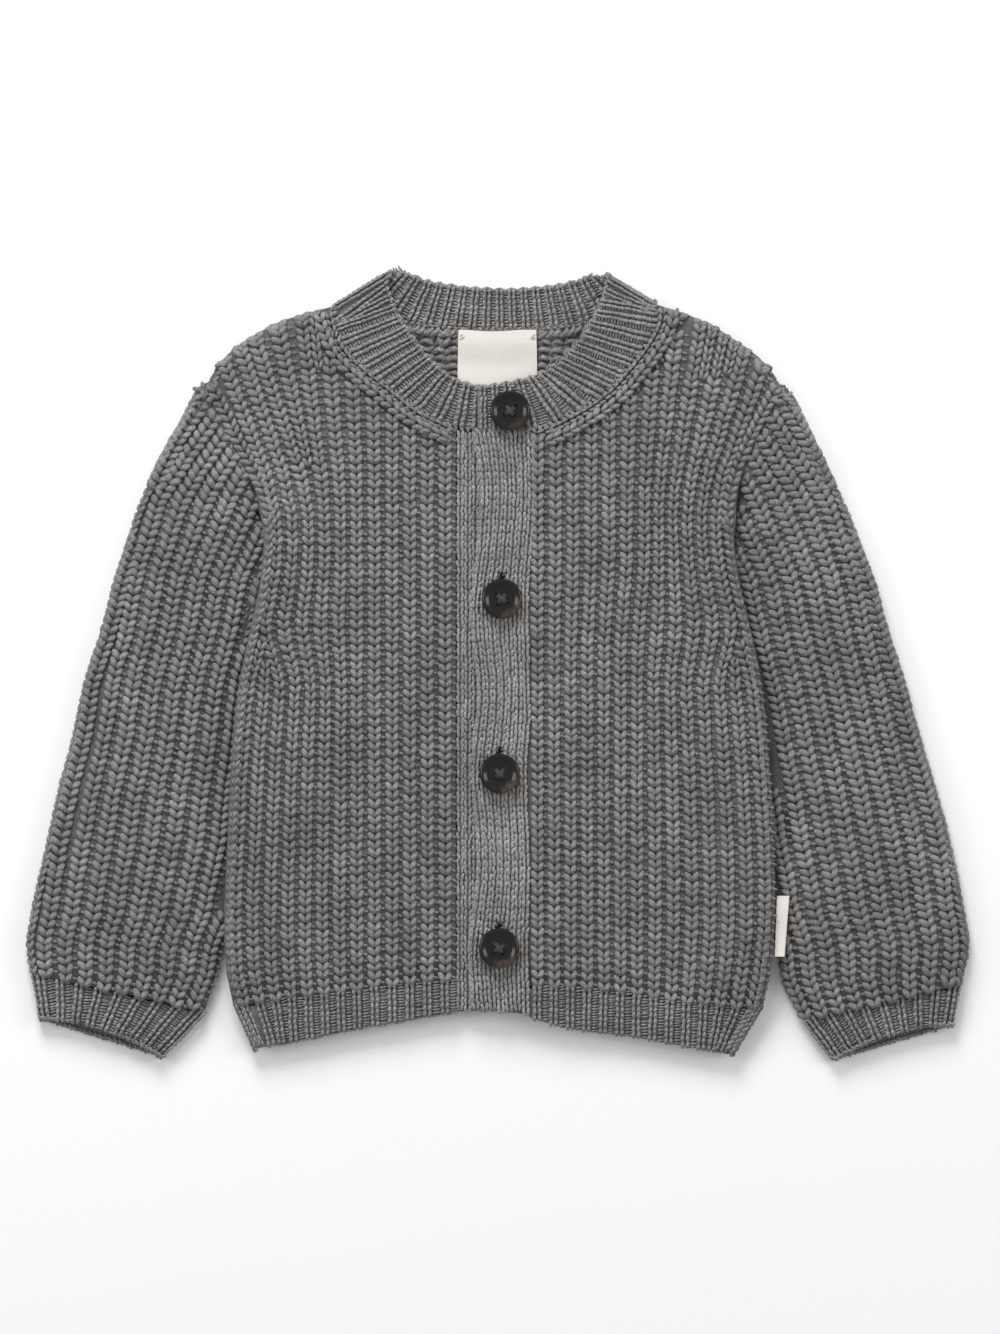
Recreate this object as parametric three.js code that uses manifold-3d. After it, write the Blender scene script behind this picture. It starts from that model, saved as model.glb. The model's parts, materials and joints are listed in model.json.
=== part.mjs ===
// Baby cardigan in chunky rib, buttoned and laid flat with its front up.
//
// Everything is in millimetres. +Z is up from the table, +Y points to the neck and +X to the
// wearer's left. Each knitted piece is a closed wall with its own thickness, and pieces that are
// sewn together keep a seam gap between them, so every piece can be taken out and used alone.

import * as THREE from 'three';
import * as BufferGeometryUtils from 'three/addons/utils/BufferGeometryUtils.js';
import Module from 'manifold-3d';

// ---- driving dimensions -------------------------------------------------------------------

const SEAM = 0.3; // gap left between two pieces sewn together
const NECK_GAP = 0.55; // the same, along the curved neck seam
const HEM_GAP = 0.75; // the same, along the hem seams
const RIB_CLOTH = 3.2; // chunky rib of the body and the sleeves
const TRIM_CLOTH = 2.4; // fine rib of hems and cuffs
const NECK_CLOTH = 2.2; // fine rib of the neckband
const BAND_CLOTH = 2.0; // close stockinette of the button bands
const FRONT_BASE = 4.4; // height of the fronts' underside above the table
const SIDE_LIFT = 5.0; // how far the body's side edge is raised where it lies on the sleeve
const SIDE_RAMP = 30; // width over which the body climbs to that height
const PANEL_WIDTH = { back: 228, front: 97, frontHem: 90, backHem: 205 }; // mean widths
const PANEL_LENGTH = { back: 270, front: 290, frontHem: 16 }; // mean lengths, from hem to top
const FOLD_RADIUS = 3; // rounding of the shoulders where front and back meet
const SLEEVE_TUCK = 2.4; // how far a sleeve's inner edge goes under the body
const UNDER_GAP = 0.9; // room left between the fronts and the back at the sides
const SLEEVE_TOP = 6.8; // height of a sleeve at the shoulder
const SLEEVE_CROWN = 9.4; // height of a sleeve along its middle
const CUFF_CROWN = 6.6; // height of a cuff
const CUFF_BOW = 4; // how far the upper layer's opening bows towards the sleeve
const TOP_BAND_BASE = 6.7; // underside of the button band that lies on top
const NECK_LAYERS = { front: 5.7, back: 1.5 }; // middle heights of the neckband at its folds
const FOLD_DRIFT = 1.4; // how far the neckband slides along its shoulder fold as it turns
const LABEL_CLOTH = 0.6; // woven label inside the back neck
const TAB_BASE = 8.1; // underside of the folded side tab
const TAB_CLOTH = 1.3; // its two layers
const TAB_TUCK = 0.6; // how far it stands clear of the side's last stitches
const BUTTON_DIAMETER = 16.8;
const BUTTON_BASE = 10.5; // underside of the buttons
const BUTTON_HEIGHT = 3.0;
const BUTTON_HOLE = 2.1; // diameter of each of the four sewing holes
const HOLE_SPREAD = 1.75; // distance of a sewing hole from the button's axes
const THREAD = 0.6; // radius of the sewing thread
const SHANK = 1.1; // radius of the thread shank under a button
const SHANK_BASE = 7.2; // lower end of the shank, in the slit
const THREAD_FOOT = 3.2; // radius of the thread wound under a button
const SLIT_WIDTH = 2.8; // opened width of a buttonhole
const SLIT_ABOVE = 11.6; // reach of a buttonhole above its button's centre
const SLIT_BELOW = 5.0; // and below it
const SLIT_FLOOR = { band: 6.55, neckband: 6.8 }; // slits are cut through the layer above this

const GREY = 0x74757a;
const CREAM = 0xe9e6df;
const HORN = 0x1d1b1a;
const DARK_THREAD = 0x242324;

// ---- the garment's outline, wearer's right and left, from hem seam to shoulder tip -----------

const RIGHT_SIDE = [
  { x: -110.7, y: -142.8 },
  { x: -113.4, y: -129 },
  { x: -114.4, y: -108 },
  { x: -113.2, y: -75 },
  { x: -111.4, y: -40 },
  { x: -108.6, y: -10 },
  { x: -103.8, y: 14 },
  { x: -99.6, y: 33 },
  { x: -97.8, y: 52 },
  { x: -99.2, y: 67 },
  { x: -104.2, y: 79 },
  { x: -112, y: 94 },
  { x: -118, y: 107 },
  { x: -122.6, y: 116 },
];

const LEFT_SIDE = [
  { x: 111, y: -143.6 },
  { x: 113.6, y: -131 },
  { x: 116, y: -110 },
  { x: 115.8, y: -78 },
  { x: 113.8, y: -42 },
  { x: 110.6, y: -8 },
  { x: 105.6, y: 16 },
  { x: 101, y: 36 },
  { x: 98.8, y: 54 },
  { x: 99.2, y: 68 },
  { x: 103.4, y: 84 },
  { x: 109.2, y: 97 },
  { x: 114.6, y: 107 },
  { x: 119.4, y: 115.4 },
];

const RIGHT_SHOULDER = [
  { x: -122.6, y: 116 },
  { x: -116.2, y: 127 },
  { x: -105.4, y: 136.4 },
  { x: -89, y: 144.8 },
  { x: -69.6, y: 150.2 },
];

const LEFT_SHOULDER = [
  { x: 119.4, y: 115.4 },
  { x: 111.8, y: 126.8 },
  { x: 99.2, y: 136.6 },
  { x: 85, y: 144.8 },
  { x: 67.1, y: 151 },
];

const RIGHT_HEM_SEAM = [
  { x: -110.7, y: -142.8 },
  { x: -83.4, y: -139.4 },
  { x: -58.6, y: -136.4 },
  { x: -37.6, y: -133.6 },
  { x: -17.6, y: -132.2 },
];

const LEFT_HEM_SEAM = [
  { x: 13.2, y: -134.6 },
  { x: 43, y: -136.2 },
  { x: 68.7, y: -140.2 },
  { x: 94.7, y: -143.4 },
  { x: 111, y: -143.6 },
];

const RIGHT_HEM_EDGE = [
  { x: -102.6, y: -160.8 },
  { x: -84, y: -157.8 },
  { x: -60, y: -152.8 },
  { x: -38, y: -149 },
  { x: -17.6, y: -145.4 },
];

const LEFT_HEM_EDGE = [
  { x: 13.2, y: -147.6 },
  { x: 30, y: -152.4 },
  { x: 56, y: -155.8 },
  { x: 82, y: -160.6 },
  { x: 99.6, y: -162.8 },
];

const BUTTON_BAND_FREE_EDGE = [
  { x: -10.8, y: -144 },
  { x: -12, y: -119 },
  { x: -8.6, y: -88 },
  { x: -9.2, y: -66 },
  { x: -10.9, y: -44 },
  { x: -8.2, y: -11 },
  { x: -11.1, y: 22 },
  { x: -8.2, y: 52 },
  { x: -7.2, y: 78 },
  { x: -10.2, y: 97.6 },
];

const BUTTON_BAND_SEAM = [
  { x: 12.9, y: -146 },
  { x: 12.2, y: -121 },
  { x: 12.8, y: -88 },
  { x: 11.5, y: -44.5 },
  { x: 12.8, y: -22 },
  { x: 12.4, y: 29 },
  { x: 14.9, y: 67 },
  { x: 14.7, y: 97.6 },
];

const BUTTON_CENTRES = [
  { x: 5.2, y: 106.4 },
  { x: 1.8, y: 27.7 },
  { x: 0.9, y: -45.4 },
  { x: 0.6, y: -118.4 },
];

// Courses of a sleeve from the shoulder tip to the cuff: where each meets the sleeve's outer fold
// and the height where it meets the inner edge, which follows the body's side. "closed" runs
// from an open armhole to a closed underarm seam.
const RIGHT_SLEEVE = [
  { outerX: -127.6, outerY: 113.4, innerY: 115.2, closed: 0 },
  { outerX: -133, outerY: 102.9, innerY: 103.8, closed: 0 },
  { outerX: -142.2, outerY: 86.1, innerY: 89, closed: 0 },
  { outerX: -149.7, outerY: 69.3, innerY: 77, closed: 0.4 },
  { outerX: -155.4, outerY: 52.5, innerY: 64, closed: 1 },
  { outerX: -161, outerY: 35.7, innerY: 48, closed: 1 },
  { outerX: -166.6, outerY: 14, innerY: 26, closed: 1 },
  { outerX: -173.2, outerY: -6, innerY: 3, closed: 1 },
  { outerX: -178.8, outerY: -31.5, innerY: -22, closed: 1 },
  { outerX: -185.4, outerY: -56.7, innerY: -46, closed: 1 },
  { outerX: -190, outerY: -78, innerY: -70, closed: 1 },
  { outerX: -194.7, outerY: -98.7, innerY: -94, closed: 1 },
  { outerX: -197.5, outerY: -117, innerY: -119, closed: 1 },
  { outerX: -196, outerY: -129.6, innerY: -145.4, closed: 1 },
];

const LEFT_SLEEVE = [
  { outerX: 124.4, outerY: 112.4, innerY: 114.6, closed: 0 },
  { outerX: 129, outerY: 102.9, innerY: 103.8, closed: 0 },
  { outerX: 138, outerY: 84, innerY: 90.6, closed: 0 },
  { outerX: 145.4, outerY: 68, innerY: 79, closed: 0.4 },
  { outerX: 151.6, outerY: 52.5, innerY: 66, closed: 1 },
  { outerX: 158, outerY: 35.7, innerY: 50, closed: 1 },
  { outerX: 164, outerY: 14, innerY: 28, closed: 1 },
  { outerX: 170.4, outerY: -6, innerY: 5, closed: 1 },
  { outerX: 177.6, outerY: -31.5, innerY: -20, closed: 1 },
  { outerX: 185.2, outerY: -56.7, innerY: -44, closed: 1 },
  { outerX: 190.6, outerY: -78, innerY: -68, closed: 1 },
  { outerX: 195, outerY: -98.7, innerY: -92, closed: 1 },
  { outerX: 197.5, outerY: -117, innerY: -119, closed: 1 },
  { outerX: 194.6, outerY: -134.4, innerY: -149.4, closed: 1 },
];

// The inner end of a sleeve's last course, where it has left the body's side.
const RIGHT_SLEEVE_END = { x: -121.6, y: -145.4 };
const LEFT_SLEEVE_END = { x: 127.6, y: -149.4 };

// Courses of a cuff from the sleeve's end to its opening.
const RIGHT_CUFF = [
  { outerX: -195.8, outerY: -130, innerX: -122, innerY: -145.8, closed: 1 },
  { outerX: -193.8, outerY: -139, innerX: -130, innerY: -154.4, closed: 1 },
  { outerX: -192.4, outerY: -148.6, innerX: -140.6, innerY: -164.8, closed: 1 },
];

const LEFT_CUFF = [
  { outerX: 194.4, outerY: -134.8, innerX: 128, innerY: -149.8, closed: 1 },
  { outerX: 192.8, outerY: -142.4, innerX: 133.6, innerY: -157.4, closed: 1 },
  { outerX: 191.2, outerY: -151.2, innerX: 140.4, innerY: -166.2, closed: 1 },
];

// The neckband strip: its sewn edge and its free edge, with the height of its middle layer.
const NECKBAND_RIGHT_FRONT = [
  { seamX: 4.6, seamY: 98, freeX: 4.6, freeY: 117, z: 5.55 },
  { seamX: -9, seamY: 98.6, freeX: -9, freeY: 117.2, z: 5.55 },
  { seamX: -20, seamY: 100.4, freeX: -18.7, freeY: 120.6, z: 5.6 },
  { seamX: -33.6, seamY: 107.4, freeX: -28, freeY: 128.4, z: 5.8 },
  { seamX: -45.2, seamY: 116.4, freeX: -35.6, freeY: 137.4, z: 6 },
  { seamX: -56, seamY: 125.2, freeX: -40.8, freeY: 146, z: 6 },
  { seamX: -64.2, seamY: 133.8, freeX: -44.4, freeY: 154, z: 5.9 },
  { seamX: -67.8, seamY: 142.8, freeX: -46, freeY: 160.6, z: 5.7 },
];

const NECKBAND_BACK = [
  { seamX: -54, seamY: 149.2, freeX: -38.2, freeY: 164.6, z: 1.5 },
  { seamX: -38, seamY: 144.4, freeX: -30, freeY: 161.4, z: 1.6 },
  { seamX: -18, seamY: 141.6, freeX: -15, freeY: 158.8, z: 2 },
  { seamX: 0, seamY: 141, freeX: 0, freeY: 157.8, z: 2 },
  { seamX: 18, seamY: 141.4, freeX: 16, freeY: 158.4, z: 2 },
  { seamX: 36, seamY: 143.6, freeX: 30, freeY: 160.6, z: 1.6 },
  { seamX: 51, seamY: 148.8, freeX: 39.2, freeY: 163.6, z: 1.5 },
];

const NECKBAND_LEFT_FRONT = [
  { seamX: 67.2, seamY: 144, freeX: 44.8, freeY: 158.6, z: 5.7 },
  { seamX: 62.2, seamY: 134.4, freeX: 42.6, freeY: 151, z: 5.9 },
  { seamX: 54.2, seamY: 124, freeX: 38, freeY: 142, z: 6.1 },
  { seamX: 44.4, seamY: 113.8, freeX: 31.2, freeY: 132.4, z: 6.5 },
  { seamX: 30.4, seamY: 104.8, freeX: 22.4, freeY: 124.6, z: 7.2 },
  { seamX: 15, seamY: 98.8, freeX: 12, freeY: 120.2, z: 8.1 },
  { seamX: 2, seamY: 98, freeX: 1, freeY: 118, z: 8.1 },
  { seamX: -8.6, seamY: 98, freeX: -8.6, freeY: 116.4, z: 8.1 },
];

// Where the necklines of the fronts and of the back end, just below the neckband's fold.
const RIGHT_FRONT_NECK_POINT = { x: -69.4, y: 148 };
const LEFT_FRONT_NECK_POINT = { x: 67.2, y: 149.2 };
const RIGHT_BACK_NECK_POINT = { x: -67.6, y: 148.9 };
const LEFT_BACK_NECK_POINT = { x: 65, y: 150 };

const RIGHT_NECK_FOLD = { seamX: -67.9, seamY: 151, freeX: -44.4, freeY: 165.4 };
const LEFT_NECK_FOLD = { seamX: 65.2, seamY: 152.2, freeX: 45.4, freeY: 164 };

const LABEL_CORNERS = { left: -16.6, right: 16.6, bottom: 108, top: 140 };

// Side tab: its sewn edge follows the body's side.
const SIDE_TAB = [
  { sewnX: 115.4, freeX: 119.6, y: -122 },
  { sewnX: 115.9, freeX: 120.6, y: -109 },
  { sewnX: 116.3, freeX: 121.6, y: -96.6 },
];

// ---- small helpers ----------------------------------------------------------------------------

function smooth(x) {
  const t = Math.min(1, Math.max(0, x));
  return t * t * (3 - 2 * t);
}

function span(count) {
  return Array.from({ length: count + 1 }, (_, i) => i / count);
}

/** Smooth curve through a table of points, walked evenly from 0 to 1. */
function curveThrough(points) {
  const knots = points.map((p) => new THREE.Vector3(p.x, p.y, 0));
  const curve = new THREE.CatmullRomCurve3(knots, false, 'centripetal');
  return (t) => curve.getPointAt(Math.min(1, Math.max(0, t)));
}

/** Several curves end to end, with the corners between them at given shares of the walk. */
function joined(curves, corners) {
  const stops = [0, ...corners, 1];
  return (t) => {
    const i = Math.max(0, stops.findIndex((stop) => t <= stop + 1e-9) - 1);
    return curves[i]((t - stops[i]) / (stops[i + 1] - stops[i]));
  };
}

/** Even steps through each stretch between stops. */
function steps(stops, counts) {
  const walk = counts.flatMap((count, i) => (
    span(count).slice(0, -1).map((t) => stops[i] + (stops[i + 1] - stops[i]) * t)));
  return [...walk, stops.at(-1)];
}

/** Points beside a seam, on the side away from the free edge of the strip sewn to it. */
function besideSeam(stations, distance) {
  return stations.map((s) => {
    const length = Math.hypot(s.freeX - s.seamX, s.freeY - s.seamY);
    return {
      x: s.seamX - ((s.freeX - s.seamX) * distance) / length,
      y: s.seamY - ((s.freeY - s.seamY) * distance) / length,
    };
  });
}

/** Where a curve that runs up the body stands at a height. */
function acrossAt(curve, y) {
  const walk = span(240).map((t) => curve(t));
  const next = Math.max(1, walk.findIndex((p) => p.y >= y));
  const [below, above] = [walk[next - 1], walk[next]];
  return below.x + ((above.x - below.x) * (y - below.y)) / (above.y - below.y);
}

/** Flat pattern piece between four edge curves: (u, v) goes across and up. */
function patternPiece(bottom, top, left, right) {
  return (u, v) => {
    const across = bottom(u).multiplyScalar(1 - v).addScaledVector(top(u), v);
    const along = left(v).multiplyScalar(1 - u).addScaledVector(right(v), u);
    const corners = bottom(0).multiplyScalar((1 - u) * (1 - v))
      .addScaledVector(bottom(1), u * (1 - v))
      .addScaledVector(top(0), (1 - u) * v)
      .addScaledVector(top(1), u * v);
    return across.add(along).sub(corners);
  };
}

/** Closed body between two skins given as rows of points. */
function bodyBetween(upper, lower) {
  const rows = upper.length;
  const columns = upper[0].length;
  const points = [...upper.flat(), ...lower.flat()];
  const count = rows * columns;
  const at = (skin, r, c) => skin * count + r * columns + c;
  const faces = [];
  const quad = (a, b, c, d) => faces.push(a, b, c, a, c, d);
  for (let r = 0; r < rows - 1; r += 1) {
    for (let c = 0; c < columns - 1; c += 1) {
      quad(at(0, r, c), at(0, r, c + 1), at(0, r + 1, c + 1), at(0, r + 1, c));
      quad(at(1, r, c), at(1, r + 1, c), at(1, r + 1, c + 1), at(1, r, c + 1));
    }
    quad(at(0, r, 0), at(0, r + 1, 0), at(1, r + 1, 0), at(1, r, 0));
    quad(at(0, r + 1, columns - 1), at(0, r, columns - 1),
      at(1, r, columns - 1), at(1, r + 1, columns - 1));
  }
  for (let c = 0; c < columns - 1; c += 1) {
    quad(at(0, 0, c + 1), at(0, 0, c), at(1, 0, c), at(1, 0, c + 1));
    quad(at(0, rows - 1, c), at(0, rows - 1, c + 1), at(1, rows - 1, c + 1), at(1, rows - 1, c));
  }
  const geometry = new THREE.BufferGeometry().setFromPoints(points);
  geometry.setIndex(faces);
  return facingOut(geometry);
}

function enclosedVolume(geometry) {
  const p = geometry.getAttribute('position');
  const index = geometry.getIndex();
  const corner = (i) => new THREE.Vector3().fromBufferAttribute(p, index.getX(i));
  let volume = 0;
  for (let i = 0; i < index.count; i += 3) {
    volume += corner(i).dot(corner(i + 1).cross(corner(i + 2))) / 6;
  }
  return volume;
}

function facingOut(geometry) {
  if (enclosedVolume(geometry) < 0) {
    const turned = Array.from(geometry.getIndex().array);
    for (let i = 0; i < turned.length; i += 3) {
      [turned[i], turned[i + 1]] = [turned[i + 1], turned[i]];
    }
    geometry.setIndex(turned);
  }
  geometry.computeVertexNormals();
  return geometry;
}

function knit(name, geometry, colour = GREY) {
  const material = new THREE.MeshStandardMaterial({ color: colour, roughness: 0.95, metalness: 0 });
  const mesh = new THREE.Mesh(geometry, material);
  mesh.name = name;
  return mesh;
}

// ---- how high the body lies --------------------------------------------------------------------

/** Rise of the body over the tucked sleeve, from the distance to its side edge. */
function sideLift(fromEdge, y) {
  const along = smooth((84 - y) / 32) * smooth((y + 149) / 24);
  return SIDE_LIFT * along * (1 - smooth((fromEdge - 2) / SIDE_RAMP));
}

/** How much a rounded edge has dropped at a distance from the edge. */
function rimDrop(fromEdge, radius) {
  const inside = Math.max(0, radius - fromEdge);
  return radius - Math.sqrt(Math.max(0, radius * radius - inside * inside));
}

/** The fronts sink onto the back at the side edges, where there is no room left between them. */
function frontBase(fromEdge) {
  return FRONT_BASE - (FRONT_BASE - RIB_CLOTH - UNDER_GAP) * (1 - smooth((fromEdge - 3) / 20));
}

/** Rim radius along the outline: full where the cloth folds over, small at the armhole seam. */
function rimRadius(y) {
  return 1.1 + 1.9 * Math.max(smooth((78 - y) / 20), smooth((y - 112) / 6));
}

// Columns are close together at an edge that is rounded, so its curve is kept.
const EDGE_STEPS = [0, 0.5, 2.6, 10, 18, 26, 34];

// Share of a front's centre edge at which its neckline begins.
const NECK_SHARE = 0.72;

function columnsFrom(width, plain) {
  const near = EDGE_STEPS.map((d) => d / width);
  const start = near[near.length - 1];
  return [...near, ...span(plain).slice(1).map((t) => start + (1 - start) * t)];
}

function bothEnds(near, middle) {
  const end = near.slice(0, -1);
  return [...end, ...middle, ...end.map((u) => 1 - u).reverse()];
}

// ---- body panels -----------------------------------------------------------------------------

function backPanel() {
  const neck = [
    RIGHT_SHOULDER.at(-1),
    RIGHT_BACK_NECK_POINT,
    ...besideSeam(NECKBAND_BACK, NECK_GAP),
    LEFT_BACK_NECK_POINT,
    LEFT_SHOULDER.at(-1),
  ];
  const shoulders = [curveThrough(RIGHT_SHOULDER), curveThrough([...LEFT_SHOULDER].reverse())];
  const top = joined([shoulders[0], curveThrough(neck), shoulders[1]], [0.26, 0.74]);
  const piece = patternPiece(
    curveThrough([...RIGHT_HEM_SEAM, ...LEFT_HEM_SEAM]),
    top,
    curveThrough(RIGHT_SIDE),
    curveThrough(LEFT_SIDE),
  );
  const near = EDGE_STEPS.map((d) => d / PANEL_WIDTH.back);
  const middle = steps([near.at(-1), 0.26, 0.74, 1 - near.at(-1)], [3, 10, 3]);
  const columns = bothEnds(near, middle);
  const upper = [];
  const lower = [];
  for (const v of span(20)) {
    const flat = columns.map((u) => piece(u, v));
    const edges = flat.map((p) => Math.min(p.distanceTo(flat[0]), p.distanceTo(flat.at(-1))));
    const fromShoulder = (1 - v) * PANEL_LENGTH.back;
    const drop = (d, y) => Math.max(rimDrop(d, rimRadius(y)), shoulderDrop(d, fromShoulder, y));
    const at = (height) => (p, i) => (
      new THREE.Vector3(p.x, p.y, sideLift(edges[i], p.y) + height(edges[i], p.y)));
    lower.push(flat.map(at(drop)));
    upper.push(flat.map(at(() => RIB_CLOTH)));
  }
  return knit('back', bodyBetween(upper, lower));
}

/** The back's shoulders are rounded like its sides; its neck seam is not. */
function shoulderDrop(fromEdge, fromShoulder, y) {
  return y > 141 && fromEdge > 60 ? 0 : rimDrop(fromShoulder, FOLD_RADIUS);
}

function frontPanel(name, side, shoulder, centreEdge, hem, centreLift) {
  const piece = patternPiece(
    curveThrough(hem),
    curveThrough(shoulder),
    curveThrough(side),
    centreEdge,
  );
  const columns = columnsFrom(PANEL_WIDTH.front, 3);
  const upper = [];
  const lower = [];
  const rows = [...steps([0, NECK_SHARE, 0.985], [14, 10]), 0.994, 1];
  for (const v of rows) {
    const flat = columns.map((u) => piece(u, v));
    const rise = (p, d) => frontBase(d) + sideLift(d, p.y) + centreLift(p);
    const fromShoulder = (1 - v) * PANEL_LENGTH.front;
    lower.push(flat.map((p) => new THREE.Vector3(p.x, p.y, rise(p, p.distanceTo(flat[0])))));
    upper.push(flat.map((p) => {
      const d = p.distanceTo(flat[0]);
      const drop = Math.max(rimDrop(d, rimRadius(p.y)), rimDrop(fromShoulder, FOLD_RADIUS));
      return new THREE.Vector3(p.x, p.y, rise(p, d) + RIB_CLOTH - Math.min(drop, RIB_CLOTH - 0.4));
    }));
  }
  return knit(name, bodyBetween(upper, lower));
}

/** The left front climbs a little towards the band that lies on top. */
function leftCentreLift(p) {
  return 1.3 * (1 - smooth((p.x - 14) / 34)) * (1 - smooth((p.y - 96) / 30));
}

function frontRight() {
  const seam = curveThrough([{ x: -17.6, y: -132.2 }, { x: -17.6, y: -20 }, { x: -17.6, y: 98.9 }]);
  const neck = curveThrough([
    { x: -17.6, y: 98.9 },
    ...besideSeam(NECKBAND_RIGHT_FRONT.slice(2), NECK_GAP),
    RIGHT_FRONT_NECK_POINT,
    RIGHT_SHOULDER.at(-1),
  ]);
  return frontPanel('front_right', RIGHT_SIDE, RIGHT_SHOULDER, joined([seam, neck], [NECK_SHARE]),
    RIGHT_HEM_SEAM, () => 0);
}

function frontLeft() {
  const band = BUTTON_BAND_SEAM.map((p) => ({ x: p.x + SEAM + 0.15, y: p.y }));
  const seam = curveThrough([LEFT_HEM_SEAM[0], ...band.slice(1)]);
  const neck = curveThrough([
    band.at(-1),
    ...besideSeam([...NECKBAND_LEFT_FRONT.slice(0, 5)].reverse(), NECK_GAP),
    LEFT_FRONT_NECK_POINT,
    LEFT_SHOULDER.at(-1),
  ]);
  return frontPanel('front_left', LEFT_SIDE, LEFT_SHOULDER, joined([seam, neck], [NECK_SHARE]),
    [...LEFT_HEM_SEAM].reverse(), leftCentreLift);
}

// ---- hems ---------------------------------------------------------------------------------------

function shifted(points, dx, dy) {
  return points.map((p) => ({ x: p.x + dx, y: p.y + dy }));
}

function straightEdge(from, to) {
  const middle = { x: (from.x + to.x) / 2, y: (from.y + to.y) / 2 };
  return curveThrough([from, middle, to]);
}

function frontHem(name, seam, edge, centreLift) {
  const top = shifted(seam, 0, -HEM_GAP);
  const piece = patternPiece(
    curveThrough(edge),
    curveThrough(top),
    straightEdge(edge[0], top[0]),
    straightEdge(edge.at(-1), top.at(-1)),
  );
  const columns = columnsFrom(PANEL_WIDTH.frontHem, 4);
  const upper = [];
  const lower = [];
  for (const v of [0, 0.04, 0.12, 0.4, 0.7, 1]) {
    const flat = columns.map((u) => piece(u, v));
    const base = (p, d) => frontBase(d) + sideLift(d, p.y) + centreLift(p);
    const fromEdge = v * PANEL_LENGTH.frontHem;
    lower.push(flat.map((p) => new THREE.Vector3(p.x, p.y, base(p, p.distanceTo(flat[0])))));
    upper.push(flat.map((p) => {
      const d = p.distanceTo(flat[0]);
      const drop = Math.max(rimDrop(d, 2), 0.6 * rimDrop(fromEdge, 1.6));
      return new THREE.Vector3(p.x, p.y, base(p, d) + TRIM_CLOTH + 0.4 - drop);
    }));
  }
  return knit(name, bodyBetween(upper, lower));
}

function backHem() {
  const top = shifted([...RIGHT_HEM_SEAM, ...LEFT_HEM_SEAM], 0, -HEM_GAP);
  const edge = shifted([...RIGHT_HEM_EDGE, ...LEFT_HEM_EDGE], 0, 1.6);
  const piece = patternPiece(
    curveThrough(edge),
    curveThrough(top),
    straightEdge(edge[0], top[0]),
    straightEdge(edge.at(-1), top.at(-1)),
  );
  const near = EDGE_STEPS.map((d) => d / PANEL_WIDTH.backHem);
  const middle = steps([near.at(-1), 1 - near.at(-1)], [6]);
  const columns = bothEnds(near, middle);
  const upper = [];
  const lower = [];
  for (const v of [0, 0.05, 0.4, 0.7, 1]) {
    const flat = columns.map((u) => piece(u, v));
    const reach = (p) => Math.min(p.distanceTo(flat[0]), p.distanceTo(flat.at(-1)));
    const lift = (p) => sideLift(reach(p), p.y);
    lower.push(flat.map((p) => new THREE.Vector3(p.x, p.y, lift(p) + rimDrop(reach(p), 2))));
    upper.push(flat.map((p) => new THREE.Vector3(p.x, p.y, lift(p) + TRIM_CLOTH + 0.6)));
  }
  return knit('back_hem', bodyBetween(upper, lower));
}

// ---- button bands ------------------------------------------------------------------------------

function strip(leftEdge, rightEdge, base, thickness, rounding) {
  const left = curveThrough(leftEdge);
  const right = curveThrough(rightEdge);
  const columns = [0, 0.05, 0.3, 1];
  const upper = [];
  const lower = [];
  for (const v of span(18)) {
    const flat = columns.map((u) => left(v).lerp(right(v), u));
    const round = (p) => rimDrop(p.distanceTo(flat[0]), rounding);
    lower.push(flat.map((p) => new THREE.Vector3(p.x, p.y, base)));
    upper.push(flat.map((p) => new THREE.Vector3(p.x, p.y, base + thickness - round(p))));
  }
  return bodyBetween(upper, lower);
}

function underBand() {
  const left = [{ x: -17.3, y: -145.2 }, { x: -17.3, y: -20 }, { x: -17.3, y: 97.6 }];
  const right = [{ x: 4.6, y: -144.4 }, { x: 4.6, y: -20 }, { x: 4.6, y: 97.6 }];
  return knit('under_band', strip(left, right, FRONT_BASE, BAND_CLOTH, 0.6));
}

function buttonBand(solids) {
  const plain = strip(BUTTON_BAND_FREE_EDGE, BUTTON_BAND_SEAM, TOP_BAND_BASE, BAND_CLOTH + 0.2, 1.4);
  return knit('button_band', cutSlits(solids, plain, BUTTON_CENTRES.slice(1), SLIT_FLOOR.band));
}

// ---- sleeves and cuffs -------------------------------------------------------------------------

// Width of a sleeve's last stretch before its inner edge, which has its own points.
const END_REACH = 4.4;

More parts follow.
